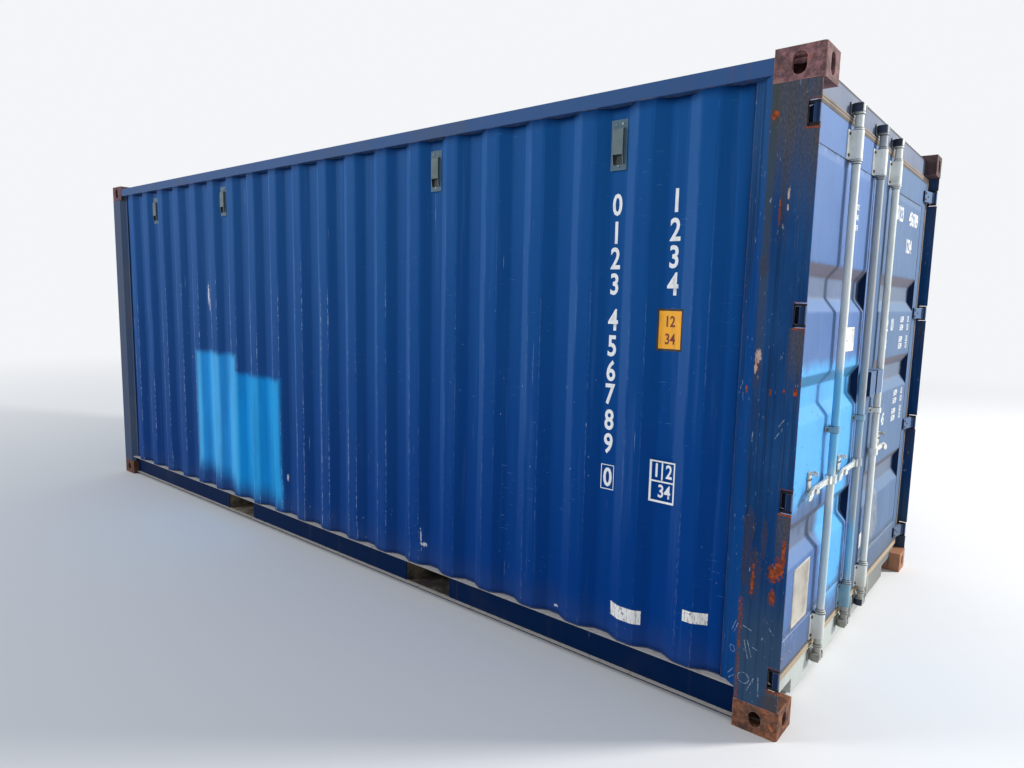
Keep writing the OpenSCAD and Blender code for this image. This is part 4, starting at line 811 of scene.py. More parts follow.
leftTone = (rgb(84, 114, 164), rgb(72, 98, 144), rgb(120, 148, 188))
rightTone = (rgb(84, 108, 140), rgb(74, 96, 132), rgb(116, 136, 162))
finishOf = {
    "casting": castingFinish("casting"),
    "rearPost": postPaint("rearPost"),
    "frontPost": framePaint("frontPost", rgb(56, 72, 98), grime=0.7, rusty=0.6),
    "rail": framePaint("rail", rgb(54, 84, 130), grime=0.4, rusty=0.3),
    # bottom rails: deep blue darkened with painted shade, as under the top flange
    "lowRailShaded": framePaint("lowRailShaded", rgb(2, 28, 66), grime=0.15, rusty=0.25, ledge=1.0, gloss=0.06),
    "header": headerPaint("header"),
    "sillPaint": framePaint("sillPaint", finish["sill"], grime=0.4, rusty=0.3, shaded=0.75),
    "wallLeft": panelPaint("wallLeft", sprayed=True),
    "wallPlain": panelPaint("wallPlain"),
    "wallFront": panelPaint("wallFront", front=True),
    "roofPaint": framePaint("roofPaint", rgb(50, 86, 138), grime=0.5, rusty=0.3, inside=True),
    "doorLeft": doorPaint("doorLeft", leftTone, "sprayed"),
    "frameLeft": doorPaint("frameLeft", leftTone, "sprayed", middle=-0.6),
    "doorRight": doorPaint("doorRight", rightTone, "worn"),
    "frameRight": doorPaint("frameRight", rightTone, "worn", middle=0.6),
    "doorPlain": doorPaint("doorPlain", rightTone),
    "bars": barPaint("bars"),
    "barSprayed": barPaint("barSprayed", [(0.98, 1.41, 0.82), (0.36, 0.80, 0.35)]),
    "barTouched": barPaint("barTouched", [(1.05, 1.20, 0.25), (0.34, 0.62, 0.6)], shaded=0.6),
    "handles": barPaint("handles", dirt=0.7),
    "brackets": bracketPaint("brackets"),
    "keepers": keeperPaint("keepers"),
    "lugs": framePaint("lugs", rgb(34, 34, 40), grime=0.15, rusty=0.7),
    "rubber": rubberFinish("rubber"),
    "ply": plyFinish("ply"),
    "under": underFinish("under"),
    "vent": ventFinish("vent"),
    "bolts": boltFinish("bolts", rgb(84, 80, 76), 0.5),
    "screws": boltFinish("screws", rgb(168, 180, 178), 0.1),
    "beadWall": beadFinish("beadWall", rgb(20, 50, 96)),
    "beadDoor": beadFinish("beadDoor", rgb(96, 112, 142)),
    "beadPost": beadFinish("beadPost", rgb(60, 70, 92)),
    "markWhite": markFinish("markWhite", finish["white"], 0.25),
    "markDoor": markFinish("markDoor", finish["white"], 0.45),
    "markRed": markFinish("markRed", rgb(112, 34, 20), 0.2),
    "markOrange": markFinish("markOrange", finish["orange"], 0.0),
    "markBlack": markFinish("markBlack", finish["black"], 0.1),
    "paper": paperFinish("paper"),
    "plate": plateFinish("plate"),
}
print("finishes made:", len(finishOf))

# the nodes that wear each finish
coat = {
    "casting": ["top_fittings", "bottom_fittings"],
    "rearPost": ["left_rear_post", "right_rear_post"],
    "frontPost": ["left_front_post", "right_front_post"],
    "rail": ["left_top_rail", "right_top_rail", "front_top_rail"],
    "lowRailShaded": ["left_bottom_rail", "right_bottom_rail", "front_sill"],
    "header": ["door_header"],
    "sillPaint": ["door_sill"],
    "wallLeft": ["left_wall"],
    "wallPlain": ["right_wall"],
    "wallFront": ["front_wall"],
    "roofPaint": ["roof"],
    "ply": ["floor"],
    "under": ["cross_members", "fork_pockets"],
    "vent": ["side_vents"],
    "lugs": ["hinge_lugs"],
    "keepers": ["cam_keepers"],
    "frameLeft": ["left_door_frame"],
    "doorLeft": ["left_door_panel"],
    "rubber": ["left_door_gasket", "right_door_gasket"],
    "doorPlain": ["left_hinge_blades", "left_lock_box", "right_hinge_blades", "right_lock_box"],
    "brackets": ["left_bar_brackets", "right_bar_brackets"],
    "handles": ["left_handle_catches", "right_handle_catch", "left_outer_handle", "left_inner_handle",
                "right_inner_handle"],
    "frameRight": ["right_door_frame"],
    "doorRight": ["right_door_panel"],
    "barSprayed": ["left_outer_bar"],
    "barTouched": ["left_inner_bar"],
    "bars": ["right_inner_bar"]}
for key, names in coat.items():
    for slot in (slot for name in names for slot in nodes[name].material_slots):
        slot.material = finishOf[key]
print("finishes put on:", sum(len(names) for names in coat.values()))


# meshes

def meshOf(name, points, faces, material, body, slot):
    # points (n, 3) and faces (m, k) of one size become an object that rides on a body
    mesh = bpy.data.meshes.new(name)
    corners = faces.shape[1]
    mesh.vertices.add(len(points))
    mesh.vertices.foreach_set("co", np.asarray(points, np.float32).ravel())
    mesh.loops.add(faces.size)
    mesh.loops.foreach_set("vertex_index", np.ascontiguousarray(faces, np.int32).ravel())
    mesh.polygons.add(len(faces))
    mesh.polygons.foreach_set("loop_start", np.arange(0, faces.size, corners, dtype=np.int32))
    mesh.update(calc_edges=True)
    mesh.validate()
    mesh.materials.append(finishOf[material])
    piece = bpy.data.objects.new(name, mesh)
    bpy.context.scene.collection.objects.link(piece)
    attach(piece, body)
    return piece


def quadsOf(index):
    # quads between neighbouring entries of a grid of point numbers
    return np.stack([index[:-1, :-1], index[:-1, 1:], index[1:, 1:], index[1:, :-1]], -1).reshape(-1, 4)


def gridFaces(rows, columns, wrap=False):
    # quads between neighbouring rows and columns; wrap joins the last column to the first
    index = np.arange(rows * columns).reshape(rows, columns)
    if wrap:
        index = np.concatenate([index, index[:, :1]], 1)
    return quadsOf(index)


def solidify(piece, thickness):
    # gives a skin its thickness, behind its outer face
    sheet = piece.modifiers.new("wall", "SOLIDIFY")
    sheet.thickness = thickness
    sheet.offset = -1.0


def smooth(piece):
    piece.data.polygons.foreach_set("use_smooth", np.ones(len(piece.data.polygons), bool))
    return piece


def joined(parts):
    # several (points, faces) as one
    points, faces, start = [], [], 0
    for p, f in parts:
        points.append(p)
        faces.append(f + start)
        start += len(p)
    return np.concatenate(points), np.concatenate(faces)


def copies(part, places):
    # the part once at each place
    points, faces = part
    places = np.asarray(places, float)
    moved = (places[:, None] + points).reshape(-1, 3)
    steps = np.arange(len(places)) * len(points)
    return moved, (steps[:, None, None] + faces).reshape(-1, faces.shape[1])


def turned(profile, sides, way):
    # (radius, height) points turned about the direction that the head looks in: "+x", "-y" or "+y"
    profile = np.asarray(profile, float)
    angle = np.linspace(0, 2 * np.pi, sides, endpoint=False)
    across = profile[:, :1] * np.cos(angle)
    up = profile[:, :1] * np.sin(angle)
    out = np.repeat(profile[:, 1:], sides, 1)
    faces = gridFaces(len(profile), sides, wrap=True)
    parts = {"+x": (out, across, up), "-y": (across, -out, up), "+y": (across, out, up)}[way]
    if way == "+y":
        faces = faces[:, ::-1]
    return np.stack(parts, -1).reshape(-1, 3), faces


def tube(path, radius, sides=6):
    # a ring of points round each point of the path, square to its direction
    path = np.asarray(path, float)
    ahead = np.gradient(path, axis=0)
    ahead /= np.linalg.norm(ahead, axis=1, keepdims=True)
    guide = np.where(np.abs(ahead[:, 2:]) > 0.9, np.array([[0.0, 1.0, 0.0]]), np.array([[0.0, 0.0, 1.0]]))
    across = np.cross(ahead, guide)
    across /= np.linalg.norm(across, axis=1, keepdims=True)
    up = np.cross(across, ahead)
    angle = np.linspace(0, 2 * np.pi, sides, endpoint=False)
    ring = np.cos(angle)[:, None] * across[:, None] + np.sin(angle)[:, None] * up[:, None]
    points = path[:, None] + np.broadcast_to(radius, (len(path),))[:, None, None] * ring
    return points.reshape(-1, 3), gridFaces(len(path), sides, wrap=True)[:, ::-1]


def straight(start, end, step):
    # points along a line, one every step
    start, end = np.asarray(start, float), np.asarray(end, float)
    count = max(2, int(np.linalg.norm(end - start) / step) + 1)
    return start + np.linspace(0, 1, count)[:, None] * (end - start)


def ripples(count, radius, seed):
    # radius of a weld bead: waves every few points and a slow drift
    n = np.arange(count)
    return radius * (1 + 0.18 * np.sin(n * 2.1 + seed) + 0.14 * np.sin(n * 0.13 + seed * 3))


# corrugated side walls

wall = {"outer": 1.216, "depth": 0.036, "firstRidge": 2.652, "ridge": 0.072, "slope": 0.068, "pitch": 0.278,
        "ridges": 20, "x0": -2.831, "x1": 2.795, "z0": 0.1655, "z1": 2.5045, "thickness": 0.002,
        "bend": 0.007,
        "rows": 74}
# each dent: x, z, half width, half height, depth
leftDents = [(-0.45, 0.30, 0.10, 0.12, 0.016), (0.96, 0.27, 0.07, 0.09, 0.016),
             (-2.02, 0.26, 0.12, 0.10, 0.010),
             (1.92, 0.24, 0.09, 0.06, 0.006), (0.10, 1.52, 0.10, 0.32, 0.004),
             (-1.25, 0.72, 0.16, 0.30, 0.005),
             (2.30, 0.22, 0.10, 0.05, 0.004), (-0.75, 2.05, 0.14, 0.22, 0.004),
             (1.35, 1.15, 0.16, 0.30, 0.004),
             (0.42, 0.22, 0.05, 0.05, 0.010), (-2.45, 1.30, 0.10, 0.30, 0.005)]
rightDents = [(1.70, 0.30, 0.10, 0.12, 0.012), (-0.35, 0.27, 0.08, 0.08, 0.012),
              (-1.95, 1.10, 0.14, 0.30, 0.005),
              (0.60, 1.60, 0.12, 0.26, 0.004), (2.25, 0.95, 0.10, 0.20, 0.005)]


def waveDepth(x):
    # 0 on the ridges and 1 in the grooves, with straight slopes
    phase = np.mod(wall["firstRidge"] - x, wall["pitch"])
    down = np.clip((phase - wall["ridge"]) / wall["slope"], 0, 1)
    up = np.clip((phase - (wall["pitch"] - wall["slope"])) / wall["slope"], 0, 1)
    level = down - up
    last = wall["firstRidge"] - (wall["ridges"] - 1) * wall["pitch"] - wall["ridge"] - wall["slope"]
    return np.where((x > wall["firstRidge"] + wall["slope"]) | (x < last), 1.0, level)


def wallInset(x, z, dents):
    # distance inside the outer plane: the wave with its bends rounded, plus bell-shaped dents and a slow
    # waviness
    offsets = np.linspace(-1, 1, 5) * wall["bend"]
    level = sum(waveDepth(x + offset) for offset in offsets) / len(offsets)
    inset = wall["depth"] * level
    for cx, cz, rx, rz, depth in dents:
        inset = inset + depth * np.exp(-((x - cx) / rx) ** 2 - ((z - cz) / rz) ** 2)
    slow = np.sin(x * 2.3 + 1.0) * np.sin(z * 2.1 + x * 0.7) + 0.5 * np.sin(x * 5.1) * np.sin(z * 4.3 + 2.0)
    edge = np.clip((z - wall["z0"]) / 0.25, 0, 1) * np.clip((wall["z1"] - z) / 0.25, 0, 1)
    return inset + 0.0012 * (1.5 + slow) * edge


def wallColumns():
    # x values: four at each bend and three on each face
    bends = []
    for k in range(wall["ridges"]):
        x = wall["firstRidge"] - k * wall["pitch"]
        bends += [x + wall["slope"], x, x - wall["ridge"], x - wall["ridge"] - wall["slope"]]
    around = np.array([-1.0, -0.4, 0.4, 1.0]) * wall["bend"]
    columns = (np.array(bends)[:, None] + around).ravel()
    middles = (np.array(bends[:-1]) + np.array(bends[1:])) / 2
    thirds = np.concatenate([middles - 0.017, middles, middles + 0.017])
    columns = np.concatenate([columns, thirds, [wall["x0"], wall["x1"]]])
    columns = columns[(columns >= wall["x0"]) & (columns <= wall["x1"])]
    return np.unique(np.round(columns, 5))


def onWall(x, z, side, dents, lift=0.0):
    # points of the wall's outer surface, moved outwards by lift
    return np.stack([x, side * (wall["outer"] - wallInset(x, z, dents) + lift), z], -1)


def wallSheet(name, side, dents, material, node):
    # a fine skin in place of a side wall
    gx, gz = np.meshgrid(wallColumns(), np.linspace(wall["z0"], wall["z1"], wall["rows"]))
    points = onWall(gx, gz, side, dents).reshape(-1, 3)
    faces = gridFaces(*gx.shape)
    if side > 0:
        faces = faces[:, ::-1]
    piece = meshOf(name, points, faces, material, "box", "wall_paint")
    solidify(smooth(piece), wall["thickness"])
    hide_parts(node)


wallSheet("left_wall_sheet", -1, leftDents, "wallLeft", "left_wall")
wallSheet("right_wall_sheet", 1, rightDents, "wallPlain", "right_wall")
print("side walls made")


# door panels

leftPanelDents = [(-0.62, 1.10, 0.18, 0.12, 0.004), (-0.42, 0.50, 0.12, 0.10, 0.006),
                  (-0.85, 2.05, 0.16, 0.10, 0.003),
                  (-0.30, 1.95, 0.10, 0.14, 0.003)]
rightPanelDents = [(0.50, 0.47, 0.11, 0.12, 0.012), (0.80, 2.05, 0.14, 0.10, 0.003),
                   (0.62, 1.05, 0.16, 0.08, 0.005),
                   (0.90, 0.52, 0.10, 0.16, 0.004)]


def recessDepth(z):
    # sum of the recesses; each is flat in the middle and straight on its slopes
    offsets = np.linspace(-1, 1, 5) * panel["bend"]
    depth = 0
    for middle in panel["recesses"]:
        level = sum(np.clip((panel["half"] - np.abs(z + o - middle)) / panel["slope"], 0, 1)
                    for o in offsets)
        depth = depth + panel["depth"] * level / len(offsets)
    return depth


def panelRows():
    # z values: five at each bend and a step of about 40 mm between
    halves = (panel["half"], panel["half"] - panel["slope"])
    bends = [m + s * h for m in panel["recesses"] for s in (-1, 1) for h in halves]
    close = (np.array(bends)[:, None] + np.array([-1.2, -0.6, 0.0, 0.6, 1.2]) * panel["bend"]).ravel()
    rows = np.concatenate([close, np.linspace(panel["low"], panel["high"], 50)])
    return np.unique(np.round(rows, 4))


def onPanel(y, z, dents, lift=0.0):
    # points of the panel's outer surface, moved outwards by lift; the sheet bellies a little between its
    # welds
    depth = recessDepth(z)
    for cy, cz, ry, rz, deep in dents:
        depth = depth + deep * np.exp(-((y - cy) / ry) ** 2 - ((z - cz) / rz) ** 2)
    reach = (np.abs(y) - panel["near"]) / (panel["far"] - panel["near"])
    belly = np.sin(np.pi * np.clip(reach, 0, 1)) * (1.3 + np.sin(z * 5.0 + y * 3.0))
    return np.stack([panel["face"] - depth - 0.0009 * belly + lift, y, z], -1)


def doorSheet(name, side, dents, material, node, body):
    # a fine skin in place of a door's panel
    y = np.sort(side * np.linspace(panel["near"], panel["far"], panel["columns"]))
    gy, gz = np.meshgrid(y, panelRows())
    piece = meshOf(name, onPanel(gy, gz, dents).reshape(-1, 3), gridFaces(*gy.shape), material, body,
                   "door_paint")
    solidify(smooth(piece), panel["thickness"])
    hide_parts(node)


doorSheet("left_panel_sheet", -1, leftPanelDents, "doorLeft", "left_door_panel", "left_door")
doorSheet("right_panel_sheet", 1, rightPanelDents, "doorRight", "right_door_panel", "right_door")
print("door panels made")


# ribbed door gaskets: a profile carried round the leaf, wider where the lip laps over the frame

seal = {"leafFar": 1.158, "leafNear": 0.014, "leafLow": 0.185, "leafHigh": 2.435, "foot": 0.009,
        "lips": {"near": 0.009, "far": 0.026, "low": 0.040, "high": 0.032}, "back": 2.926, "under": 2.9656,
        "top": 2.9729, "groove": 2.9703, "step": 0.03}
# share of the lip's reach and height: 0 under, 1 groove, 2 top
sealProfile = [(1.00, 0), (1.00, 1), (0.93, 2), (0.74, 2), (0.69, 1), (0.60, 1), (0.55, 2), (0.36, 2),
               (0.30, 1), (0.10, 1),
               (0.02, 1)]


def gasketRing(side):
    # walk round the leaf; at each point the outward direction and the lip's reach are known
    s = seal
    corners = [(s["leafNear"], s["leafLow"]), (s["leafFar"], s["leafLow"]), (s["leafFar"], s["leafHigh"]),
               (s["leafNear"], s["leafHigh"])]
    order = ["low", "far", "high", "near"]
    outward = {"low": (0, -1), "far": (1, 0), "high": (0, 1), "near": (-1, 0)}
    rings = []
    for k, name in enumerate(order):
        start, end = np.array(corners[k]), np.array(corners[(k + 1) % 4])
        before = order[k - 1]
        count = int(np.linalg.norm(end - start) / s["step"])
        t = np.linspace(0, 1, count, endpoint=False)[:, None]
        base = start + t * (end - start)
        wobble = 0.0006 * np.sin(np.arange(count) * 0.9 + k)
        wobble[0] = 0.0
        profile = []
        for share, level in [(None, 0), (None, 1)] + sealProfile:
            if share is None:
                reach = {key: s["foot"] for key in order}
                x = s["back"] if level == 0 else s["under"]
            else:
                reach = {key: max(value * share, s["foot"] * 0.98 if share == 1.0 else 0.0004)
                         for key, value in s["lips"].items()}
                x = (s["under"], s["groove"], s["top"])[level]
            out = np.array(outward[name]) * reach[name]
            spot = base + out + np.array(outward[name]) * wobble[:, None] * (share == 1.0)
            # the first point of each side is the mitred corner
            spot[0] = start + out + np.array(outward[before]) * reach[before]
            profile.append(np.column_stack([np.full(count, x), side * spot[:, 0], spot[:, 1]]))
        rings.append(np.stack(profile, 1))
    whole = np.concatenate(rings)
    index = np.arange(whole.shape[0] * whole.shape[1]).reshape(whole.shape[:2])
    index = np.concatenate([index, index[:1]])
    faces = quadsOf(index)
    return whole.reshape(-1, 3), faces if side < 0 else faces[:, ::-1]


for name, side in (("left", -1), ("right", 1)):
    points, faces = gasketRing(side)
    piece = meshOf(name + "_gasket_ribbed", points, faces[:, ::-1], "rubber", name + "_door", "gasket")
    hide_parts(name + "_door_gasket")
print("gaskets made")


# bolts, screws and rivets

bolt = {"bracketY": 0.040, "bracketZ": 0.043, "strapY": 0.036, "bearings": (0.251, 1.150, 2.351),
        "face": 2.974,
        "hinges": (0.245, 0.955, 1.650, 2.355), "bladeRoot": (2.9818, 1.085), "bladeTip": (2.9868, 1.118),
        "bladeZ": 0.018, "handle": 0.930, "reach": 0.225, "catchFace": 2.9748, "catchY": 0.011,
        "catchZ": 0.034}
# radius, height and sides of each kind of head
heads = {"bracket": (0.0075, 0.006, 6), "blade": (0.0062, 0.0045, 8), "catch": (0.005, 0.0035, 6),
         "vent": (0.0055, 0.003, 8), "rivet": (0.003, 0.0015, 8)}


def head(kind, way):
    # a low drum with a sloping shoulder and a flat top
    radius, height, sides = heads[kind]
    profile = [(radius, 0.0), (radius, height * 0.7), (radius * 0.8, height),
               (radius * 0.05, height * 1.02)]
    return turned(profile, sides, way)


def bracketPlaces(bars):
    # four on each end bracket and two on each middle strap
    corners = [(a * bolt["bracketY"], b * bolt["bracketZ"]) for a in (-1, 1) for b in (-1, 1)]
    low, middle, high = bolt["bearings"]
    places = []
    for y in bars:
        places += [(bolt["face"], y + dy, z + dz) for z in (low, high) for dy, dz in corners]
        places += [(bolt["face"], y + a * bolt["strapY"], middle) for a in (-1, 1)]
    return places


def bladePlaces(side):
    # three on each hinge blade: two at its root and one further out
    root, tip = bolt["bladeRoot"], bolt["bladeTip"]
    places = []
    for z in bolt["hinges"]:
        places += [(root[0], side * root[1], z + a * bolt["bladeZ"]) for a in (-1, 1)]
        places.append((tip[0], side * tip[1], z))
    return places


def catchPlaces(bars, side):
    # two above each handle's catch
    z = bolt["handle"] + bolt["catchZ"]
    return [(bolt["catchFace"], y + side * bolt["reach"] + a * bolt["catchY"], z) for y in bars
            for a in (-1, 1)]


for name, side, bars in (("left", -1, (-0.612, -0.168)), ("right", 1, (0.168,))):
    parts = [copies(head("bracket", "+x"), bracketPlaces(bars)),
             copies(head("blade", "+x"), bladePlaces(side)),
             copies(head("catch", "+x"), catchPlaces(bars, side))]
    meshOf(name + "_door_bolts", *joined(parts), "bolts", name + "_door", "bar_paint")

# the vents: x of the groove by the doors, grooves that have a vent, face, height, and the screws round the
# middle
vents = {"first": 2.477, "grooves": (1, 5, 13, 17), "face": 1.1846, "z": 2.345,
         "screws": ((-0.016, 0.086), (0.016, 0.086), (0, -0.088))}
ventX = [vents["first"] - wall["pitch"] * k for k in vents["grooves"]]
screwParts = []
for side, way in ((-1, "-y"), (1, "+y")):
    places = [(x + dx, side * vents["face"], vents["z"] + dz) for x in ventX for dx, dz in vents["screws"]]
    screwParts.append(copies(head("vent", way), places))
meshOf("vent_screws", *joined(screwParts), "screws", "box", "vent")
print("bolts made")


# data plate, bare: a thin beige sheet with a raised border and four rivets

plate = {"y0": -0.940, "y1": -0.732, "z0": 0.338, "z1": 0.598, "base": 2.9668, "top": 2.9706, "rim": 0.009,
         "raise": 0.0012, "rivet": 0.0045}


def makePlate():
    p = plate
    inset = np.array([0.0, 0.0, 0.0012, p["rim"], p["rim"] + 0.0015])
    raised = p["top"] + p["raise"]
    height = np.array([p["base"], raised - 0.0008, raised, raised, p["top"]])
    rings = []
    for d, x in zip(inset, height):
        y0, y1, z0, z1 = p["y0"] + d, p["y1"] - d, p["z0"] + d, p["z1"] - d
        rings.append([(x, y0, z0), (x, y1, z0), (x, y1, z1), (x, y0, z1)])
    points = np.array(rings, float)
    faces = gridFaces(len(rings), 4, wrap=True)
    last = (len(rings) - 1) * 4 + np.arange(4)
    faces = np.concatenate([faces, last[None]])
    meshOf("data_plate", points.reshape(-1, 3), faces, "plate", "left_door", "bar_paint")
    across = (p["y0"] + p["rivet"], p["y1"] - p["rivet"])
    heights = (p["z0"] + p["rivet"], p["z1"] - p["rivet"])
    corners = [(p["top"] + 0.0008, y, z) for y in across for z in heights]
    meshOf("plate_rivets", *copies(head("rivet", "+x"), corners), "bolts", "left_door", "bar_paint")


makePlate()
print("plate made")


# weld beads

def wallBead(side, dents, z, seed):
    # a bead that follows the wave of the wall at one height
    x = np.arange(wall["x0"] + 0.01, wall["x1"] - 0.01, 0.005)
    path = onWall(x, np.full(len(x), z), side, dents, -0.0004)
    return tube(path, ripples(len(path), 0.0024, seed), 5)


def uprightBead(x, y, z0, z1, radius, seed):
    # a straight bead from one height to another
    path = straight((x, y, z0), (x, y, z1), 0.005)
    return tube(path, ripples(len(path), radius, seed), 5)


wallBeads = []
for side, dents in ((-1, leftDents), (1, rightDents)):
    wallBeads += [wallBead(side, dents, 0.1668, 1.0), wallBead(side, dents, 2.5032, 2.0)]
    wallBeads.append(uprightBead(2.7796, side * 1.1812, 0.17, 2.50, 0.0026, 3.0))
meshOf("wall_beads", *joined(wallBeads), "beadWall", "box", "wall_paint")
postBeads = []
for side in (-1, 1):
    for end in (-1, 1):
        postBeads.append(uprightBead(end * 2.8508, side * 1.2158, 2.506, 2.564, 0.0024, 4.0))
    postBeads.append(uprightBead(2.9652, side * 1.0568, 2.4735, 2.563, 0.0028, 5.0))
    postBeads.append(uprightBead(2.9652, side * 1.0568, 0.02, 0.118, 0.0028, 6.0))
meshOf("frame_beads", *joined(postBeads), "beadPost", "box", "frame_paint")
for name, side in (("left", -1), ("right", 1)):
    z = panelRows()
    beads = []
    for y in (side * panel["near"], side * panel["far"]):
        path = onPanel(np.full(len(z), y), z, [], 0.0004)
        fine = np.linspace(0, 1, 460)
        path = np.stack([np.interp(fine, np.linspace(0, 1, len(z)), path[:, k]) for k in range(3)], 1)
        beads.append(tube(path, ripples(len(path), 0.0022, side), 5))
    meshOf(name + "_door_beads", *joined(beads), "beadDoor", name + "_door", "door_paint")
print("beads made")


# plain digits, framed boxes and labels

def glyphs(text, height, narrow=0.78):
    # the default lettering as flat triangles: x to the right and y up, centred, with the given height
    curve = bpy.data.curves.new("glyphs", "FONT")
    curve.body, curve.resolution_u, curve.offset = text, 3, 0.022
    holder = bpy.data.objects.new("glyphs", curve)
    bpy.context.scene.collection.objects.link(holder)
    mesh = bpy.data.meshes.new_from_object(holder)
    mesh.calc_loop_triangles()
    flat = np.empty(len(mesh.vertices) * 3)
    mesh.vertices.foreach_get("co", flat)
    faces = np.empty(len(mesh.loop_triangles) * 3, np.int32)
    mesh.loop_triangles.foreach_get("vertices", faces)
    bpy.data.objects.remove(holder)
    bpy.data.curves.remove(curve)
    bpy.data.meshes.remove(mesh)
    points = flat.reshape(-1, 3)[:, :2]
    low, high = points.min(0), points.max(0)
    scale = height / (high[1] - low[1])
    points = (points - (low + high) / 2) * scale * np.array([narrow, 1.0])
    return points, faces.reshape(-1, 3)


def frameFaces(width, height, line):
    # a flat ring: outer and inner rectangle
    w, h = width / 2, height / 2
    outer = np.array([(-w, -h), (w, -h), (w, h), (-w, h)])
    inner = np.array([(-w + line, -h + line), (w - line, -h + line), (w - line, h - line),
                      (-w + line, h - line)])
    k = np.arange(4)
    n = (k + 1) % 4
    faces = np.concatenate([np.stack([k, n, n + 4], 1), np.stack([k, n + 4, k + 4], 1)])
    return np.concatenate([outer, inner]), faces


def bar(width, height):
    # a flat rectangle
    w, h = width / 2, height / 2
    return np.array([(-w, -h), (w, -h), (w, h), (-w, h)]), np.array([(0, 1, 2), (0, 2, 3)])


def placed(part, x, z):
    # a flat part moved to its place on the wall or door
    points, faces = part
    return points + np.array([x, z]), faces


def wallMark(name, parts, side, dents, material, lift=0.0009):
    # flat marks laid on the wall; on the right wall they are turned about the middle so that they read
    # rightly
    points, faces = joined(parts)
    x = points[:, 0] if side < 0 else -points[:, 0]
    meshOf(name, onWall(x, points[:, 1], side, dents, lift), faces, material, "box", "wall_paint")


def wallColumn(first, second):
    # four digits, six digits and one in a box, top to bottom; then a shorter column beside them
    heights = (2.098, 1.980, 1.871, 1.760, 1.605, 1.490, 1.380, 1.275, 1.160, 1.052)
    parts = [placed(glyphs(digit, 0.094), first, z) for digit, z in zip("0123456789", heights)]
    parts.append(placed(glyphs("0", 0.088), first + 0.003, 0.898))
    parts.append(placed(frameFaces(0.068, 0.114, 0.0035), first + 0.002, 0.898))
    besides = (2.098, 1.982, 1.872, 1.762)
    return parts + [placed(glyphs(digit, 0.094), second, z) for digit, z in zip("1234", besides)]


def crossedBox(x, z):
    # a framed box with a bar across, two digits parted by a short bar above it and two below it
    return [placed(frameFaces(0.118, 0.182, 0.008), x, z), placed(bar(0.104, 0.007), x, z),
            placed(bar(0.007, 0.084), x - 0.006, z + 0.045),
            placed(glyphs("1", 0.060), x - 0.032, z + 0.045),
            placed(glyphs("2", 0.060), x + 0.026, z + 0.045),
            placed(glyphs("34", 0.058), x + 0.008, z - 0.044)]


def trianglesOf(gx, gz):
    # a grid as flat points and triangles
    quads = gridFaces(*gx.shape)
    return np.stack([gx.ravel(), gz.ravel()], 1), np.concatenate([quads[:, [0, 1, 2]], quads[:, [0, 2, 3]]])


def sheetPatch(x0, x1, z0, z1, step=0.005):
    # a grid patch that can follow the wave
    rows = max(3, int((z1 - z0) / 0.02))
    return trianglesOf(*np.meshgrid(np.arange(x0, x1 + step / 2, step), np.linspace(z0, z1, rows)))


# the two columns of digits, and the label beside them: the x of each, and the patches and rows of the label
columnX = {"groove": 2.199, "side": 2.477}
label = {"edge": (0.0575, 1.4845, 1.6605), "face": (0.0495, 1.494, 1.651),
         "rows": (("12", 1.608), ("34", 1.535))}

for side, dents, tag in ((-1, leftDents, "left"), (1, rightDents, "right")):
    groove, beside = columnX["groove"], columnX["side"]
    parts = wallColumn(groove, beside) + crossedBox(beside, 0.928)
    wallMark(tag + "_wall_digits", parts, side, dents, "markWhite")
    layers = (("_height_edge", "edge", "markBlack", 0.0005),
              ("_height_label", "face", "markOrange", 0.0009))
    for piece, key, finishName, lift in layers:
        half, low, high = label[key]
        patch = sheetPatch(beside - half, beside + half, low, high)
        wallMark(tag + piece, [patch], side, dents, finishName, lift)
    rows = [placed(glyphs(digits, 0.046), beside, z) for digits, z in label["rows"]]
    wallMark(tag + "_height_digits", rows, side, dents, "markRed", 0.0013)
wallPapers = [sheetPatch(2.25, 2.41, 0.268, 0.332), sheetPatch(2.612, 2.712, 0.362, 0.412)]
wallMark("wall_paper", wallPapers, -1, leftDents, "paper")
print("wall marks made")


def doorMark(name, parts, dents, body, material):
    # flat marks laid on a door's panel
    points, faces = joined(parts)
    meshOf(name, onPanel(points[:, 0], points[:, 1], dents, 0.0009), faces, material, body, "door_paint")


def digitRow(text, y, z, height):
    return placed(glyphs(text, height), y, z)


rightRows = [digitRow("0123", 0.48, 2.190, 0.080), digitRow("456789", 0.85, 2.190, 0.080),
             digitRow("1234", 0.79, 2.035, 0.080)]
for z in (1.615, 1.568, 1.500, 1.460, 1.182, 1.135, 1.072, 1.030):
    rightRows += [digitRow("56789", 0.775, z, 0.036), digitRow("123", 0.945, z, 0.036)]
rightRows += [digitRow("01", 0.52, 1.588, 0.070), digitRow("2", 0.40, 1.588, 0.070),
              digitRow("3", 0.40, 1.482, 0.060),
              digitRow("45", 0.50, 1.055, 0.070)]
doorMark("right_door_digits", rightRows, rightPanelDents, "right_door", "markDoor")
leftRows = [digitRow(text, -0.40, z, 0.026) for text, z in (("012", 2.125), ("345", 2.080), ("678", 2.035))]
doorMark("left_door_digits", leftRows, leftPanelDents, "left_door", "markDoor")


def flatPatch(y0, y1, z0, z1, step=0.01):
    # a grid patch that can follow the dents of a door
    return trianglesOf(*np.meshgrid(np.arange(y0, y1 + step / 2, step), np.arange(z0, z1 + step / 2, step)))


doorMark("left_door_paper", [flatPatch(-0.42, -0.29, 1.48, 1.59)], leftPanelDents, "left_door", "paper")
doorMark("right_door_paper", [flatPatch(0.155, 0.21, 0.39, 0.47)], rightPanelDents, "right_door", "paper")
print("door marks made")


# floor and light

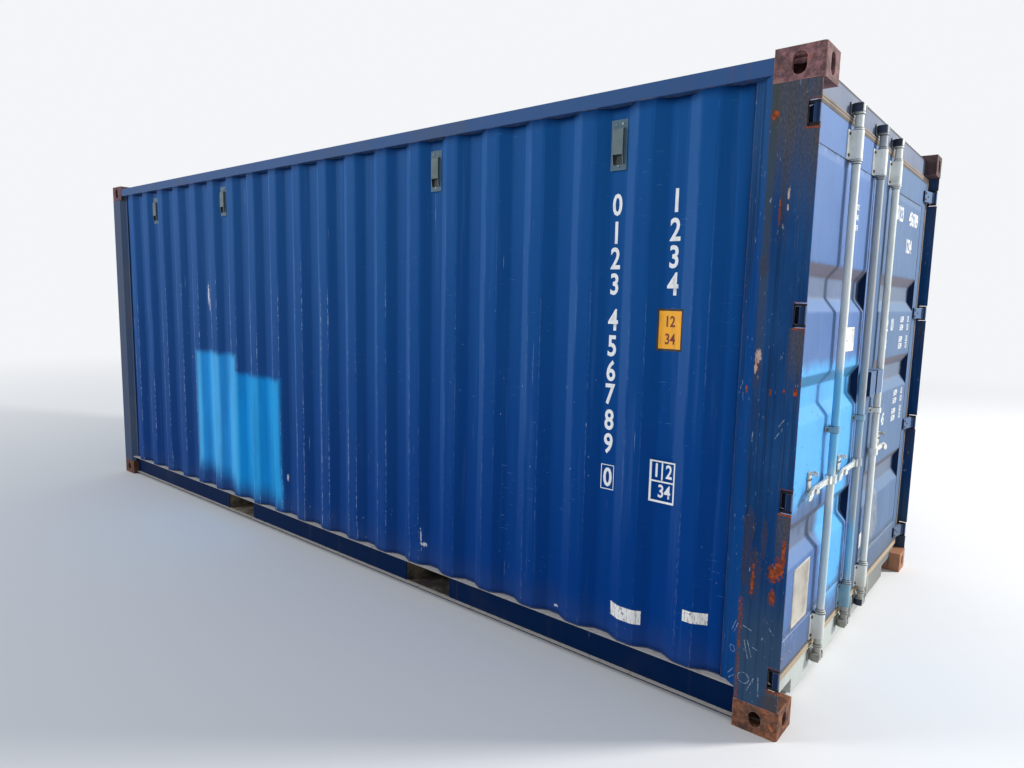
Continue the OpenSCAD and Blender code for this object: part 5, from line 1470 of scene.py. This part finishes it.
stage = {"size": 60.0, "tone": 0.80, "near": 3.5, "far": 17.0, "backdrop": (0.90, 0.915, 0.94, 1.0),
         "sky": (0.86, 0.92, 1.0, 1.0), "skyStrength": 0.58}
# each lamp: place, target, width in metres, power in watts, colour
lamps = {"keyLamp": ((12.2, 8.0, 7.6), (2.6, 0.0, 1.2), 2.6, 2400.0, (1.0, 0.98, 0.95)),
         "sideLamp": ((-18.0, -19.0, 10.0), (0.0, -1.2, 1.2), 8.0, 3200.0, (0.94, 0.97, 1.0))}


def makeStage():
    # a flat pale square that melts into the pale backdrop, and a soft sky
    half = stage["size"]
    mesh = bpy.data.meshes.new("stageFloor")
    mesh.from_pydata([(-half, -half, 0), (half, -half, 0), (half, half, 0), (-half, half, 0)], [],
                     [(0, 1, 2, 3)])
    paint = Paint("stagePaint")
    tone = stage["tone"]
    rays = paint.node("ShaderNodeLightPath", {}, {})
    direct = Sock(paint, rays.socket.node.outputs["Is Glossy Ray"]).either(rays)
    direct = direct.either(Sock(paint, rays.socket.node.outputs["Is Transmission Ray"]))
    away = ((paint.x * paint.x + paint.y * paint.y) ** 0.5).rise(stage["near"], stage["far"]) * direct
    paint.colour = paint.mix((tone, tone, tone, 1.0), (0.0, 0.0, 0.0, 1.0), away)
    glow = paint.mix((0.0, 0.0, 0.0, 1.0), stage["backdrop"], away)
    mesh.materials.append(paint.surface(0.95, specular=0.0, glow=glow))
    ground = bpy.data.objects.new("stageFloor", mesh)
    ground.location.z = -0.0005
    bpy.context.scene.collection.objects.link(ground)
    world = bpy.data.worlds.new("sky")
    bpy.context.scene.world = world
    world.use_nodes = True
    tree = world.node_tree
    tree.nodes.clear()
    rays = tree.nodes.new("ShaderNodeLightPath")
    seen = rays.outputs["Is Camera Ray"]
    for ray in ("Is Transmission Ray", "Is Glossy Ray"):
        both = tree.nodes.new("ShaderNodeMath")
        both.operation = "MAXIMUM"
        tree.links.new(both.inputs[0], seen)
        tree.links.new(both.inputs[1], rays.outputs[ray])
        seen = both.outputs[0]
    lighting = tree.nodes.new("ShaderNodeBackground")
    lighting.inputs["Color"].default_value = stage["sky"]
    lighting.inputs["Strength"].default_value = stage["skyStrength"]
    backdrop = tree.nodes.new("ShaderNodeBackground")
    backdrop.inputs["Color"].default_value = stage["backdrop"]
    backdrop.inputs["Strength"].default_value = 1.0
    either = tree.nodes.new("ShaderNodeMixShader")
    output = tree.nodes.new("ShaderNodeOutputWorld")
    tree.links.new(either.inputs["Fac"], seen)
    tree.links.new(either.inputs[1], lighting.outputs[0])
    tree.links.new(either.inputs[2], backdrop.outputs[0])
    tree.links.new(output.inputs["Surface"], either.outputs[0])


def softLamp(name, place, target, size, power, colour):
    # a round area lamp at its place, turned to its target
    lamp = bpy.data.lights.new(name, "AREA")
    lamp.shape, lamp.size, lamp.energy, lamp.color = "DISK", size, power, colour
    holder = bpy.data.objects.new(name, lamp)
    bpy.context.scene.collection.objects.link(holder)
    holder.location = place
    holder.rotation_euler = (Vector(target) - Vector(place)).to_track_quat("-Z", "Y").to_euler()


makeStage()
for name, settings in lamps.items():
    softLamp(name, *settings)
print("stage lit")
